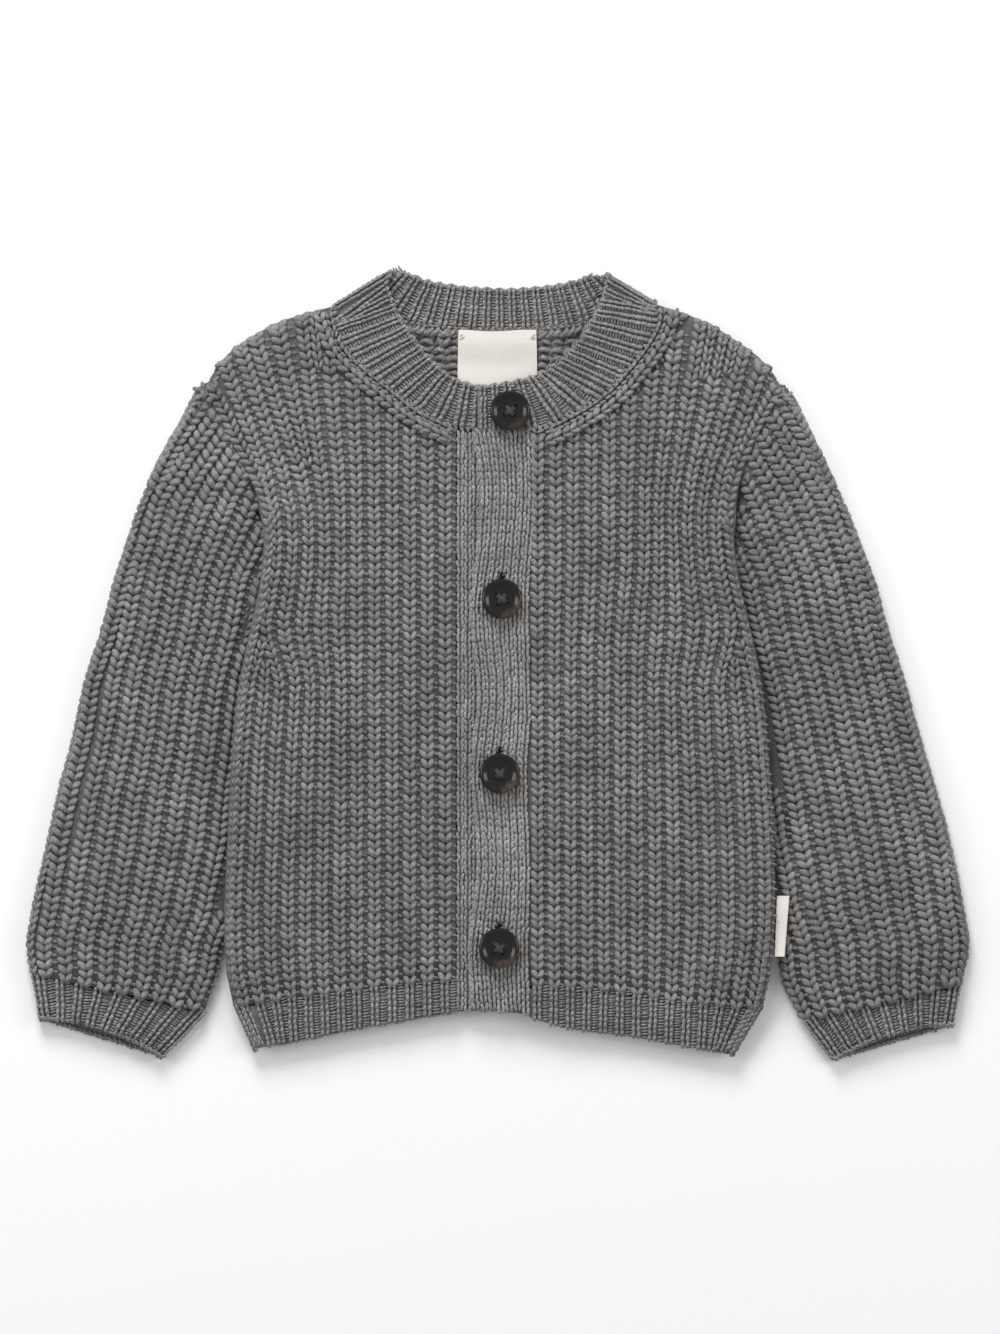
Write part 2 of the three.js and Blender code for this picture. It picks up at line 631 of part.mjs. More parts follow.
/** Middle layer of a folded sleeve, seen along the arm: distance from its outer edge, height. */
function sleeveSection(width, crown, closed, cloth) {
  const half = cloth / 2;
  const fold = half + 0.2;
  const low = half;
  const edgeTop = Math.min(crown, 2 * cloth + 0.4) - half;
  const top = crown - half;
  const centre = (low + edgeTop) / 2;
  const thin = half - 0.6 * closed;
  const innerTop = edgeTop - 1.3 * closed;
  const at = (share, height) => ({ a: half + fold + (width - half - fold) * share, z: height });
  const upper = (share) => {
    const crowned = smooth(share / 0.3) * (1 - smooth((share - 0.62) / 0.38));
    const settled = edgeTop + (innerTop - edgeTop) * smooth((share - 0.5) / 0.5);
    return at(share, settled + (top - edgeTop) * crowned);
  };
  const lowerShares = [0.6, 0];
  const upperShares = [0, 0.12, 0.28, 0.62, 0.84, 0.95];
  const radius = (edgeTop - low) / 2;
  const turn = [-50, 0, 50].map((angle) => ({
    a: half + fold - fold * Math.cos((angle * Math.PI) / 180),
    z: centre + radius * Math.sin((angle * Math.PI) / 180),
  }));
  const reach = (innerTop - thin) / 2 - 0.16;
  const inset = 1.4 * closed;
  const end = half * closed;
  const lowerEnd = [
    { a: width - end - 0.05 * closed, z: thin + reach * closed },
    { a: width - end - inset * 0.35, z: thin + reach * 0.45 * closed },
    { a: width - end - inset, z: thin },
  ];
  const upperEnd = [
    { a: width - end - inset, z: innerTop },
    { a: width - end - inset * 0.35, z: innerTop - reach * 0.45 * closed },
    { a: width - end - 0.05 * closed, z: innerTop - reach * closed },
  ];
  if (closed < 0.05) {
    lowerEnd.forEach((p, i) => { p.a = width - i * 0.3; });
    upperEnd.forEach((p, i) => { p.a = width - (2 - i) * 0.3; });
  }
  const beforeEnd = 1 - END_REACH / width;
  return [
    ...lowerEnd,
    ...lowerShares.map((share) => at(share * beforeEnd, low + (thin - low) * share)),
    ...turn,
    ...upperShares.map((share) => upper(share * beforeEnd)),
    ...upperEnd,
  ];
}

/** Moves a path in its own plane to one side, by a distance that may change along it. */
function offsetPath(path, distance) {
  return path.map((p, i) => {
    const before = path[Math.max(0, i - 1)];
    const after = path[Math.min(path.length - 1, i + 1)];
    const length = Math.hypot(after.a - before.a, after.z - before.z);
    const away = distance(i);
    return {
      a: p.a - (away * (after.z - before.z)) / length,
      z: p.z + (away * (after.a - before.a)) / length,
    };
  });
}

function tube(courses, steps, crownAt, cloth, openingBow) {
  const knots = (x, y) => courses.map((c) => new THREE.Vector3(c[x], c[y], 0));
  const outer = new THREE.CatmullRomCurve3(knots('outerX', 'outerY'));
  const inner = new THREE.CatmullRomCurve3(knots('innerX', 'innerY'));
  const upper = [];
  const lower = [];
  for (const t of span(Math.round((courses.length - 1) * steps))) {
    const from = outer.getPoint(t);
    const to = inner.getPoint(t);
    const place = Math.min(courses.length - 1.001, t * (courses.length - 1));
    const k = Math.floor(place);
    const closed = courses[k].closed + (courses[k + 1].closed - courses[k].closed) * (place - k);
    const width = from.distanceTo(to);
    const section = sleeveSection(width, crownAt(t), closed, cloth);
    const thickness = (i) => {
      const near = Math.min(i, section.length - 1 - i);
      return cloth / 2 - (closed * 0.6 * Math.max(0, 4 - near)) / 4;
    };
    const skin = (sign) => offsetPath(section, (i) => sign * thickness(i)).map((p, i) => {
      const q = from.clone().lerp(to, p.a / width);
      const bow = i > section.length / 2 ? openingBow * t * t * Math.sin((Math.PI * p.a) / width) : 0;
      return new THREE.Vector3(q.x, q.y + bow, Math.max(0, p.z));
    });
    upper.push(skin(1));
    lower.push(skin(-1));
  }
  return bodyBetween(upper, lower);
}

/** Adds the inner ends of the courses: beside the armhole, then tucked under the body's side. */
function besideBody(courses, side, end) {
  const edge = curveThrough(side);
  const outward = Math.sign(end.x);
  return courses.map((course, i) => {
    if (i === courses.length - 1) {
      return { ...course, innerX: end.x };
    }
    const tucked = smooth((66 - course.innerY) / 16) * smooth((course.innerY + 124) / 10);
    const away = 1.9 - (SLEEVE_TUCK + 1.9) * tucked;
    return { ...course, innerX: acrossAt(edge, course.innerY) + outward * away };
  });
}

function sleeve(name, courses) {
  const swell = (t) => smooth(t / 0.35) * (1 - 0.5 * smooth((t - 0.85) / 0.15));
  const crown = (t) => SLEEVE_TOP + (SLEEVE_CROWN - SLEEVE_TOP) * swell(t);
  return knit(name, tube(courses, 1.4, crown, RIB_CLOTH, 0));
}

function cuff(name, courses) {
  return knit(name, tube(courses, 1.5, () => CUFF_CROWN, TRIM_CLOTH, CUFF_BOW));
}

// ---- neckband -----------------------------------------------------------------------------------

/** Stations around a shoulder fold, from the front layer to the back one. */
function foldStations(fold) {
  const { front, back } = NECK_LAYERS;
  const along = new THREE.Vector2(fold.freeX - fold.seamX, fold.freeY - fold.seamY).normalize();
  const out = new THREE.Vector2(-along.y, along.x);
  if (out.y < 0) {
    out.negate();
  }
  const radius = (front - back) / 2;
  const middle = (front + back) / 2;
  return [8, 40, 70, 90, 110, 140, 172].map((angle) => {
    const turn = (angle * Math.PI) / 180;
    const reach = radius * (Math.sin(turn) - 1);
    const drift = (FOLD_DRIFT * (angle - 90)) / 90;
    return {
      seamX: fold.seamX + out.x * reach + along.x * drift,
      seamY: fold.seamY + out.y * reach + along.y * drift,
      freeX: fold.freeX + out.x * reach + along.x * drift,
      freeY: fold.freeY + out.y * reach + along.y * drift,
      z: middle + radius * Math.cos(turn),
    };
  });
}

function neckband(solids) {
  const stations = [
    ...NECKBAND_RIGHT_FRONT,
    ...foldStations(RIGHT_NECK_FOLD),
    ...NECKBAND_BACK,
    ...foldStations(LEFT_NECK_FOLD).reverse(),
    ...NECKBAND_LEFT_FRONT,
  ];
  const knots = (x, y) => stations.map((s) => new THREE.Vector3(s[x], s[y], s.z));
  const seam = new THREE.CatmullRomCurve3(knots('seamX', 'seamY'), false, 'centripetal');
  const free = new THREE.CatmullRomCurve3(knots('freeX', 'freeY'), false, 'centripetal');
  const across = [0, 0.06, 0.93, 1];
  const thickness = [0.75, 1, 1, 0.5];
  const upper = [];
  const lower = [];
  const last = Math.round((stations.length - 1) * 1.4);
  for (let i = 0; i <= last; i += 1) {
    const t = i / last;
    const from = seam.getPoint(t);
    const to = free.getPoint(t);
    const tangent = seam.getTangent(t).add(free.getTangent(t)).normalize();
    const out = tangent.cross(to.clone().sub(from).normalize()).normalize();
    const at = (k, sign) => from.clone().lerp(to, across[k])
      .addScaledVector(out, (sign * thickness[k] * NECK_CLOTH) / 2);
    upper.push(across.map((_, k) => at(k, 1)));
    lower.push(across.map((_, k) => at(k, -1)));
  }
  const plain = bodyBetween(upper, lower);
  return knit('neckband', cutSlits(solids, plain, [BUTTON_CENTRES[0]], SLIT_FLOOR.neckband));
}

// ---- labels --------------------------------------------------------------------------------------

function neckLabel() {
  const { left, right, bottom, top } = LABEL_CORNERS;
  const upper = [];
  const lower = [];
  const base = RIB_CLOTH + SEAM;
  for (const v of span(6)) {
    const y = bottom + (top - bottom) * v;
    const row = span(6).map((u) => left + (right - left) * u);
    lower.push(row.map((x) => new THREE.Vector3(x, y, base)));
    upper.push(row.map((x) => new THREE.Vector3(x, y, base + LABEL_CLOTH)));
  }
  return knit('label_neck', bodyBetween(upper, lower), CREAM);
}

function sideLabel() {
  const upper = [];
  const lower = [];
  const pinch = (u) => (u > 0.9 ? 0.45 : 0);
  for (const row of SIDE_TAB) {
    const at = (height) => (u) => {
      const x = row.sewnX + (row.freeX - row.sewnX) * u + TAB_TUCK;
      return new THREE.Vector3(x, row.y, TAB_BASE + height(u));
    };
    const shares = [0, 0.5, 0.85, 1];
    lower.push(shares.map(at(pinch)));
    upper.push(shares.map(at((u) => TAB_CLOTH - pinch(u))));
  }
  return knit('label_side', bodyBetween(upper, lower), CREAM);
}

// ---- buttons and their thread ---------------------------------------------------------------------

/** Joins and cuts closed bodies, keeping them in millimetres. */
function makeSolids(kernel) {
  const { Manifold, Mesh } = kernel;
  const solid = (geometry) => {
    const welded = BufferGeometryUtils.mergeVertices(stripped(geometry), 1e-4);
    return new Manifold(new Mesh({
      numProp: 3,
      vertProperties: Float32Array.from(welded.getAttribute('position').array),
      triVerts: Uint32Array.from(welded.getIndex().array),
    }));
  };
  const geometryOf = (manifold) => {
    const mesh = manifold.getMesh();
    const geometry = new THREE.BufferGeometry();
    geometry.setAttribute('position', new THREE.BufferAttribute(mesh.vertProperties, 3));
    geometry.setIndex(Array.from(mesh.triVerts));
    return facingOut(geometry);
  };
  return { solid, geometryOf };
}

function stripped(geometry) {
  const bare = new THREE.BufferGeometry();
  bare.setAttribute('position', geometry.getAttribute('position').clone());
  bare.setIndex(geometry.getIndex() ? Array.from(geometry.getIndex().array) : null);
  return bare;
}

/** Cuts an upright buttonhole through the layer above a height, one per button. */
function cutSlits(solids, geometry, buttons, above) {
  let cloth = solids.solid(geometry);
  const length = SLIT_ABOVE + SLIT_BELOW;
  for (const button of buttons) {
    const cutter = new THREE.BoxGeometry(SLIT_WIDTH, length, 6);
    const middle = button.y + (SLIT_ABOVE - SLIT_BELOW) / 2;
    cutter.translate(button.x, middle, above + 3);
    cloth = cloth.subtract(solids.solid(cutter));
  }
  return solids.geometryOf(cloth);
}

/** Turned disc with a raised rim and a dished middle. */
function buttonProfile() {
  const r = BUTTON_DIAMETER / 2;
  const h = BUTTON_HEIGHT;
  return [
    [0, 0.35],
    [r * 0.6, 0.2],
    [r * 0.86, 0.55],
    [r, h * 0.5],
    [r * 0.97, h * 0.8],
    [r * 0.88, h],
    [r * 0.78, h * 0.93],
    [r * 0.68, h * 0.7],
    [r * 0.4, h * 0.6],
    [0, h * 0.58],
  ].map(([x, y]) => new THREE.Vector2(x, y));
}

function holePlaces() {
  const d = HOLE_SPREAD;
  return [[d, d], [-d, d], [-d, -d], [d, -d]];
}

function button(name, solids, centre) {
  const lathe = new THREE.LatheGeometry(buttonProfile(), 24);
  lathe.rotateX(Math.PI / 2);
  let disc = solids.solid(facingOut(BufferGeometryUtils.mergeVertices(stripped(lathe), 1e-4)));
  for (const [x, y] of holePlaces()) {
    const drill = new THREE.CylinderGeometry(BUTTON_HOLE / 2, BUTTON_HOLE / 2, 8, 10);
    drill.rotateX(Math.PI / 2);
    drill.translate(x, y, 1);
    disc = disc.subtract(solids.solid(drill));
  }
  const geometry = solids.geometryOf(disc);
  geometry.translate(centre.x, centre.y, BUTTON_BASE);
  const material = new THREE.MeshStandardMaterial({ color: HORN, roughness: 0.3, metalness: 0 });
  const mesh = new THREE.Mesh(geometry, material);
  mesh.name = name;
  return mesh;
}

function round(radius, length, x, y, z) {
  const post = new THREE.CylinderGeometry(radius, radius, length, 8);
  post.rotateX(Math.PI / 2);
  post.translate(x, y, z + length / 2);
  return post;
}

/** A shank through the buttonhole, a wound foot under the button, and a cross over its holes. */
function buttonThread(name, solids, centre) {
  const foot = BUTTON_BASE - 0.9;
  const over = BUTTON_BASE + BUTTON_HEIGHT * 0.6 + 0.6;
  let thread = solids.solid(round(SHANK, foot - SHANK_BASE + 0.1, 0, 0, SHANK_BASE));
  thread = thread.add(solids.solid(round(THREAD_FOOT, 0.6, 0, 0, foot)));
  for (const [x, y] of holePlaces()) {
    thread = thread.add(solids.solid(round(THREAD, over - foot, x, y, foot + 0.3)));
  }
  for (const turn of [1, -1]) {
    const bar = new THREE.CylinderGeometry(THREAD, THREAD, HOLE_SPREAD * 3.1, 8);
    bar.rotateZ((turn * Math.PI) / 4);
    bar.translate(0, 0, over + 0.3 + (turn > 0 ? 0.35 : 0));
    thread = thread.add(solids.solid(bar));
  }
  const geometry = solids.geometryOf(thread);
  geometry.translate(centre.x, centre.y, 0);
  return knit(name, geometry, DARK_THREAD);
}

// ---- the cardigan -----------------------------------------------------------------------------

const kernel = await Module();
kernel.setup();
const solids = makeSolids(kernel);

const cardigan = new THREE.Group();
cardigan.name = 'baby_cardigan';
cardigan.add(
  backPanel(),
  backHem(),
  frontRight(),
  frontHem('front_right_hem', RIGHT_HEM_SEAM, RIGHT_HEM_EDGE, () => 0),
  frontLeft(),
  frontHem('front_left_hem', [...LEFT_HEM_SEAM].reverse(), [...LEFT_HEM_EDGE].reverse(), leftCentreLift),
  underBand(),
  buttonBand(solids),
  sleeve('sleeve_right', besideBody(RIGHT_SLEEVE, RIGHT_SIDE, RIGHT_SLEEVE_END)),
  sleeve('sleeve_left', besideBody(LEFT_SLEEVE, LEFT_SIDE, LEFT_SLEEVE_END)),
  cuff('cuff_right', RIGHT_CUFF),
  cuff('cuff_left', LEFT_CUFF),
  neckband(solids),
  neckLabel(),
  sideLabel(),
);
BUTTON_CENTRES.forEach((centre, i) => {
  cardigan.add(button(`button_${i + 1}`, solids, centre));
  cardigan.add(buttonThread(`button_thread_${i + 1}`, solids, centre));
});

export default cardigan;
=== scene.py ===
# %% [markdown]
# # A baby cardigan in chunky rib, laid flat
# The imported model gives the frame: where every knitted piece lies and how thick it is. This lesson
# dresses that frame. Each CAD solid is replaced by a thin lining of cloth on the same form, and the
# knitting itself is laid on the lining stitch by stitch. It could be one smooth surface with a bump
# map, but a chunky rib is deep, and its outline and shadows only look right when it is real.
# All sizes below are in millimetres unless a line says otherwise. MM turns them into metres.

# %% Load the frame
import json
import math

import bpy
import numpy as np
from mathutils import Matrix, Vector
from mathutils.bvhtree import BVHTree

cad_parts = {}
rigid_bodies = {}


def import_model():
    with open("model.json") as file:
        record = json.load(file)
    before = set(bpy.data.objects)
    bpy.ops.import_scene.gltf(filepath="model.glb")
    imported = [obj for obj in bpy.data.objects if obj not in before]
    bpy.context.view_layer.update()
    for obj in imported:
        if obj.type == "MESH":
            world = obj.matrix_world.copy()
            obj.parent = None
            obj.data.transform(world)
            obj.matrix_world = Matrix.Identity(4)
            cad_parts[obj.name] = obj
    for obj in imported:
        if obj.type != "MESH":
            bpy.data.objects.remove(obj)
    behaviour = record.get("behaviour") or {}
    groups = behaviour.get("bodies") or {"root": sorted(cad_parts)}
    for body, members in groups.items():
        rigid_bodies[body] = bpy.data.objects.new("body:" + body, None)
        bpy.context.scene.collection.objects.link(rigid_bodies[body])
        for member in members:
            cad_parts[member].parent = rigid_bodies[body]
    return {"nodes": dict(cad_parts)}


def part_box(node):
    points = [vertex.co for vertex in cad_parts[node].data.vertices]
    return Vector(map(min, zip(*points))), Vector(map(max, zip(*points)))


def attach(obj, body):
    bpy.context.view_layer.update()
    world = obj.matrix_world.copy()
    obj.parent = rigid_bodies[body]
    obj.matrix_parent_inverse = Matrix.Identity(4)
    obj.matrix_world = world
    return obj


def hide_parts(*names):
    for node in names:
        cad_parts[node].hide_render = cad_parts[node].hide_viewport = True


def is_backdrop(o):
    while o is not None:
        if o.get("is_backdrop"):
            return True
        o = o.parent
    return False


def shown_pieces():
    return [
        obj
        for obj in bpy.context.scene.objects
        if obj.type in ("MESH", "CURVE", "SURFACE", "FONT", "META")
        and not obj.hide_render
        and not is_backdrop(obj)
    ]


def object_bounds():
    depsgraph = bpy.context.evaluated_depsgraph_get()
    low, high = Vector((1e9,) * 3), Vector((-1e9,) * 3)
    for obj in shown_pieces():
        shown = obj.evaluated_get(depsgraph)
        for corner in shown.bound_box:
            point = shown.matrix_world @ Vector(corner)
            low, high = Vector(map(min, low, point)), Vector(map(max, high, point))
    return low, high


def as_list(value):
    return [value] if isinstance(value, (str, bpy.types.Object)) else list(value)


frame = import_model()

MM = 0.001
CAD_BOX = [list(corner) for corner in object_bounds()]
NODES = frame["nodes"]
rng = np.random.default_rng(11)
print("frame", len(NODES), "nodes, box in mm", [[round(v / MM, 1) for v in c] for c in CAD_BOX])

# %% [markdown]
# ## Camera
# A garment laid out for sale is seen from straight above. A near camera would make its sides lean
# and its buttons lie askew, so this one hangs high and looks down through a long lens. A camera
# that isn't turned looks along -Z, which is what is wanted here, so only its place is set. The lens
# follows from the height and from how much of the table shows along the long side.

# %% Camera
VIEW_HEIGHT = 2.6  # metres
FRAME_LONG_SIDE = 0.5603  # metres of table that show
FRAME_CENTRE = (0.001, -0.0008)  # metres
SENSOR = 36

eye = bpy.data.cameras.new("eye")
eye.sensor_width = SENSOR
eye.lens = SENSOR * VIEW_HEIGHT / FRAME_LONG_SIDE
eye.clip_end = 50
eye_object = bpy.data.objects.new("eye", eye)
eye_object.location = (*FRAME_CENTRE, VIEW_HEIGHT)
bpy.context.collection.objects.link(eye_object)
bpy.context.scene.camera = eye_object
bpy.context.scene.view_settings.view_transform = "Standard"
print("lens", round(eye.lens, 1), "mm")

# %% [markdown]
# ## Table
# The cardigan lies on a plain white table that runs out of sight. A plane is enough for it. Its
# paint and every finish after it start in the same way, so one short function begins them.


# %% The start of a finish
def new_finish(name, sockets):
    """A material with sockets of its shader set: the material, its nodes, its links, its shader."""
    material = bpy.data.materials.new(name)
    material.use_nodes = True
    skin = material.node_tree.nodes["Principled BSDF"]
    for socket, value in sockets.items():
        skin.inputs[socket].default_value = value
    return material, material.node_tree.nodes, material.node_tree.links, skin


table_paint, nodes, links, paint = new_finish("table paint", {"Roughness": 0.9, "Specular IOR Level": 0.1})
mottle = nodes.new("ShaderNodeTexNoise")
mottle.inputs["Scale"].default_value = 3
shades = nodes.new("ShaderNodeValToRGB")
shades.color_ramp.elements[0].color = (0.93, 0.93, 0.93, 1)
shades.color_ramp.elements[1].color = (0.96, 0.96, 0.96, 1)
links.new(mottle.outputs["Fac"], shades.inputs["Fac"])
links.new(shades.outputs["Color"], paint.inputs["Base Color"])
print(table_paint.name, len(nodes), "nodes")

# %% Table
TABLE_DROP = 0.2
bpy.ops.object.select_all(action="DESELECT")
bpy.ops.mesh.primitive_plane_add(size=8, location=(0, 0, -TABLE_DROP * MM))
table = bpy.context.object
table.name = "table"
table.data.materials.append(table_paint)
table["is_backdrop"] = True
print("table", [round(side, 1) for side in table.dimensions[:2]], "m")

# %% [markdown]
# ## Light
# One wide soft panel stands beyond the neck, and two weak ones at the sides keep the sleeves from
# going flat. A white world fills the shadows. Together they leave the table white and draw a soft
# shadow under the hem and cuffs. The wide panel is kept out of reflections, where it would lie
# across every button as a bright bar.

# %% Light
WORLD_STRENGTH = 0.42
LIGHTS = {  # name: (place, size in metres, power in watts)
    "panel beyond the neck": ((-0.35, 1.5, 0.95), 0.8, 31),
    "panel at the left": ((-1.5, 0.25, 0.95), 0.8, 8),
    "panel at the right": ((1.5, 0.25, 0.95), 0.8, 8),
}
for name, (place, size, power) in LIGHTS.items():
    lamp = bpy.data.lights.new(name, "AREA")
    lamp.size, lamp.energy = size, power
    lamp_object = bpy.data.objects.new(name, lamp)
    lamp_object.location = place
    lamp_object.rotation_euler = (-Vector(place)).to_track_quat("-Z", "Y").to_euler()
    lamp_object.visible_glossy = "neck" not in name
    bpy.context.collection.objects.link(lamp_object)

surroundings = bpy.data.worlds.new("white room")
surroundings.use_nodes = True
sky = surroundings.node_tree.nodes["Background"]
sky.inputs["Color"].default_value = (1, 1, 1, 1)
sky.inputs["Strength"].default_value = WORLD_STRENGTH
bpy.context.scene.world = surroundings
print("lamps", {name: power for name, (_, _, power) in LIGHTS.items()}, "W")

# %% [markdown]
# ## Curves and distances
# The edge of a knitted piece is a smooth curve, and its stitches stand at even steps along such
# curves. Blender has curve objects, but here the points are wanted as numbers, so a few lines of
# numpy are simpler: they draw a curve through given points, walk along it, and tell which places
# fall inside an outline or near a line.


# %% Curves
def smooth(x):
    """0 below 0, 1 above 1, and an easy climb between them."""
    t = np.clip(x, 0, 1)
    return t * t * (3 - 2 * t)


def spline(points, per_span=24):
    """Points of a centripetal curve through the given ones, the same number for every span."""
    p = np.asarray(points, float)
    knots = [2 * p[0] - p[1], *p, 2 * p[-1] - p[-2]]
    t = np.arange(per_span)[:, None] / per_span
    walk = []
    for a, b, c, d in zip(knots, knots[1:], knots[2:], knots[3:]):
        ab, bc, cd = (max(math.sqrt(np.linalg.norm(v)), 1e-4) for v in (b - a, c - b, d - c))
        leave = ((b - a) / ab - (c - a) / (ab + bc) + (c - b) / bc) * bc
        arrive = ((c - b) / bc - (d - b) / (bc + cd) + (d - c) / cd) * bc
        walk.append(b + leave * t + (3 * (c - b) - 2 * leave - arrive) * t**2
                    + (2 * (b - c) + leave + arrive) * t**3)
    return np.vstack([*walk, p[-1:]])


def lengths(walk):
    """Distance walked at each point of a polyline."""
    return np.concatenate([[0], np.cumsum(np.linalg.norm(np.diff(walk, axis=0), axis=1))])


def at_length(walk, distance):
    """Points of a polyline at given distances along it."""
    s = lengths(walk)
    return np.stack([np.interp(distance, s, walk[:, k]) for k in range(walk.shape[1])], -1)


def even(walk, count):
    """A number of places spread evenly over a whole polyline."""
    return at_length(walk, np.linspace(0, lengths(walk)[-1], count))


def unit(v):
    """Vectors made one long."""
    return v / np.maximum(np.linalg.norm(v, axis=-1, keepdims=True), 1e-9)


GLANCE = 0.8  # how far ahead and back the direction of a line is taken


def stepped(walk, step):
    """Even places along a polyline, and the direction of travel at each."""
    total = lengths(walk)[-1]
    at = np.arange(0.5 * step, total, step)
    ahead = at_length(walk, np.minimum(at + GLANCE, total))
    return at_length(walk, at), unit(ahead - at_length(walk, np.maximum(at - GLANCE, 0)))


print("a curve through 3 points has", len(spline([(0, 0), (1, 0), (1, 1)])), "places")


# %% Inside and near
def inside(xy, outline):
    """Which points lie inside a closed outline."""
    a, b = outline, np.roll(outline, -1, axis=0)
    x, y = xy[:, :1], xy[:, 1:2]
    crosses = (a[:, 1] > y) != (b[:, 1] > y)
    rise = np.where(b[:, 1] == a[:, 1], 1e-9, b[:, 1] - a[:, 1])
    meets = a[:, 0] + (y - a[:, 1]) * (b[:, 0] - a[:, 0]) / rise
    return (crosses & (x < meets)).sum(axis=1) % 2 == 1


def distance(xy, line):
    """Distance from each point to a densely drawn line."""
    return np.sqrt(((xy[:, None, :2] - line[None, :, :2]) ** 2).sum(-1)).min(axis=1)


def above(line, y):
    """The part of a line above a height."""
    return line[line[:, 1] > y]


def everywhere(xy):
    """Leaves nothing out."""
    return np.ones(len(xy), bool)


def to_right(along):
    """Directions on the table turned a quarter to the right."""
    return np.column_stack([along[:, 1], -along[:, 0]])


def level(xy, z=0.0):
    """Places or directions on the table given a height, one for all or one for each."""
    return np.column_stack([xy, np.broadcast_to(z, len(xy))])


square = np.array([(-1, -1), (1, -1), (1, 1), (-1, 1)])
print("middle of a square inside it", inside(np.zeros((1, 2)), square))

# %% [markdown]
# ## The pattern
# A cardigan is knitted in flat pieces and sewn up, so it starts from a pattern. These are its lines,
# the same as in the CAD source: +X is the wearer's left, and +Y is towards the neck. They could be
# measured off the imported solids, but an edge there is a run of small facets, and the few points
# that the pattern was drawn from give a cleaner line. The two halves differ a little, as they do on
# any real garment that was laid out by hand.

# %% Sides, shoulders and hems
OUTER_SIGN = {"right": -1, "left": 1}  # the way out from the middle
SIDE = {
    "right": [(-110.7, -142.8), (-113.4, -129), (-114.4, -108), (-113.2, -75), (-111.4, -40),
              (-108.6, -10), (-103.8, 14), (-99.6, 33), (-97.8, 52), (-99.2, 67), (-104.2, 79),
              (-112, 94), (-118, 107), (-122.6, 116)],
    "left": [(111, -143.6), (113.6, -131), (116, -110), (115.8, -78), (113.8, -42), (110.6, -8),
             (105.6, 16), (101, 36), (98.8, 54), (99.2, 68), (103.4, 84), (109.2, 97), (114.6, 107),
             (119.4, 115.4)],
}
SHOULDER = {
    "right": [(-122.6, 116), (-116.2, 127), (-105.4, 136.4), (-89, 144.8), (-69.6, 150.2)],
    "left": [(119.4, 115.4), (111.8, 126.8), (99.2, 136.6), (85, 144.8), (67.1, 151)],
}
HEM_SEAM = {
    "right": [(-110.7, -142.8), (-83.4, -139.4), (-58.6, -136.4), (-37.6, -133.6), (-17.6, -132.2)],
    "left": [(111, -143.6), (94.7, -143.4), (68.7, -140.2), (43, -136.2), (13.2, -134.6)],
}
HEM_EDGE = {
    "right": [(-102.6, -160.8), (-84, -157.8), (-60, -152.8), (-38, -149), (-17.6, -145.4)],
    "left": [(99.6, -162.8), (82, -160.6), (56, -155.8), (30, -152.4), (13.2, -147.6)],
}
print("front sides", {side: len(points) for side, points in SIDE.items()}, "points")

# %% Sleeves and cuffs
SLEEVE_OUTER = {
    "right": [(-127.6, 113.4), (-133, 102.9), (-142.2, 86.1), (-149.7, 69.3), (-155.4, 52.5),
              (-161, 35.7), (-166.6, 14), (-173.2, -6), (-178.8, -31.5), (-185.4, -56.7), (-190, -78),
              (-194.7, -98.7), (-197.5, -117), (-196, -129.6)],
    "left": [(124.4, 112.4), (129, 102.9), (138, 84), (145.4, 68), (151.6, 52.5), (158, 35.7),
             (164, 14), (170.4, -6), (177.6, -31.5), (185.2, -56.7), (190.6, -78), (195, -98.7),
             (197.5, -117), (194.6, -134.4)],
}
CUFF_OUTER = {
    "right": [(-195.8, -130), (-193.8, -139), (-192.4, -148.6)],
    "left": [(194.4, -134.8), (192.8, -142.4), (191.2, -151.2)],
}
CUFF_INNER = {
    "right": [(-122, -145.8), (-130, -154.4), (-140.6, -164.8)],
    "left": [(128, -149.8), (133.6, -157.4), (140.4, -166.2)],
}
print("sleeves", {side: round(lengths(spline(points))[-1]) for side, points in SLEEVE_OUTER.items()}, "mm")

# %% Bands, buttons and neck
BAND_FREE_EDGE = [(-10.8, -144), (-12, -119), (-8.6, -88), (-9.2, -66), (-10.9, -44), (-8.2, -11),
                  (-11.1, 22), (-8.2, 52), (-7.2, 78), (-10.2, 97.6)]
BAND_SEAM = [(12.9, -146), (12.2, -121), (12.8, -88), (11.5, -44.5), (12.8, -22), (12.4, 29),
             (14.9, 67), (14.7, 97.6)]
BUTTONS = [(5.2, 106.4), (1.8, 27.7), (0.9, -45.4), (0.6, -118.4)]
# the neckband's stations: sewn edge x and y, free edge x and y, height of its middle layer
NECK_RIGHT = [(4.6, 98, 4.6, 117, 5.55), (-9, 98.6, -9, 117.2, 5.55), (-20, 100.4, -18.7, 120.6, 5.6),
              (-33.6, 107.4, -28, 128.4, 5.8), (-45.2, 116.4, -35.6, 137.4, 6),
              (-56, 125.2, -40.8, 146, 6), (-64.2, 133.8, -44.4, 154, 5.9),
              (-67.8, 142.8, -46, 160.6, 5.7)]
NECK_BACK = [(-54, 149.2, -38.2, 164.6, 1.5), (-38, 144.4, -30, 161.4, 1.6), (-18, 141.6, -15, 158.8, 2),
             (0, 141, 0, 157.8, 2), (18, 141.4, 16, 158.4, 2), (36, 143.6, 30, 160.6, 1.6),
             (51, 148.8, 39.2, 163.6, 1.5)]
NECK_LEFT = [(67.2, 144, 44.8, 158.6, 5.7), (62.2, 134.4, 42.6, 151, 5.9), (54.2, 124, 38, 142, 6.1),
             (44.4, 113.8, 31.2, 132.4, 6.5), (30.4, 104.8, 22.4, 124.6, 7.2),
             (15, 98.8, 12, 120.2, 8.1), (2, 98, 1, 118, 8.1), (-8.6, 98, -8.6, 116.4, 8.1)]
NECK_FOLD = {"right": (-67.9, 151, -44.4, 165.4), "left": (65.2, 152.2, 45.4, 164)}
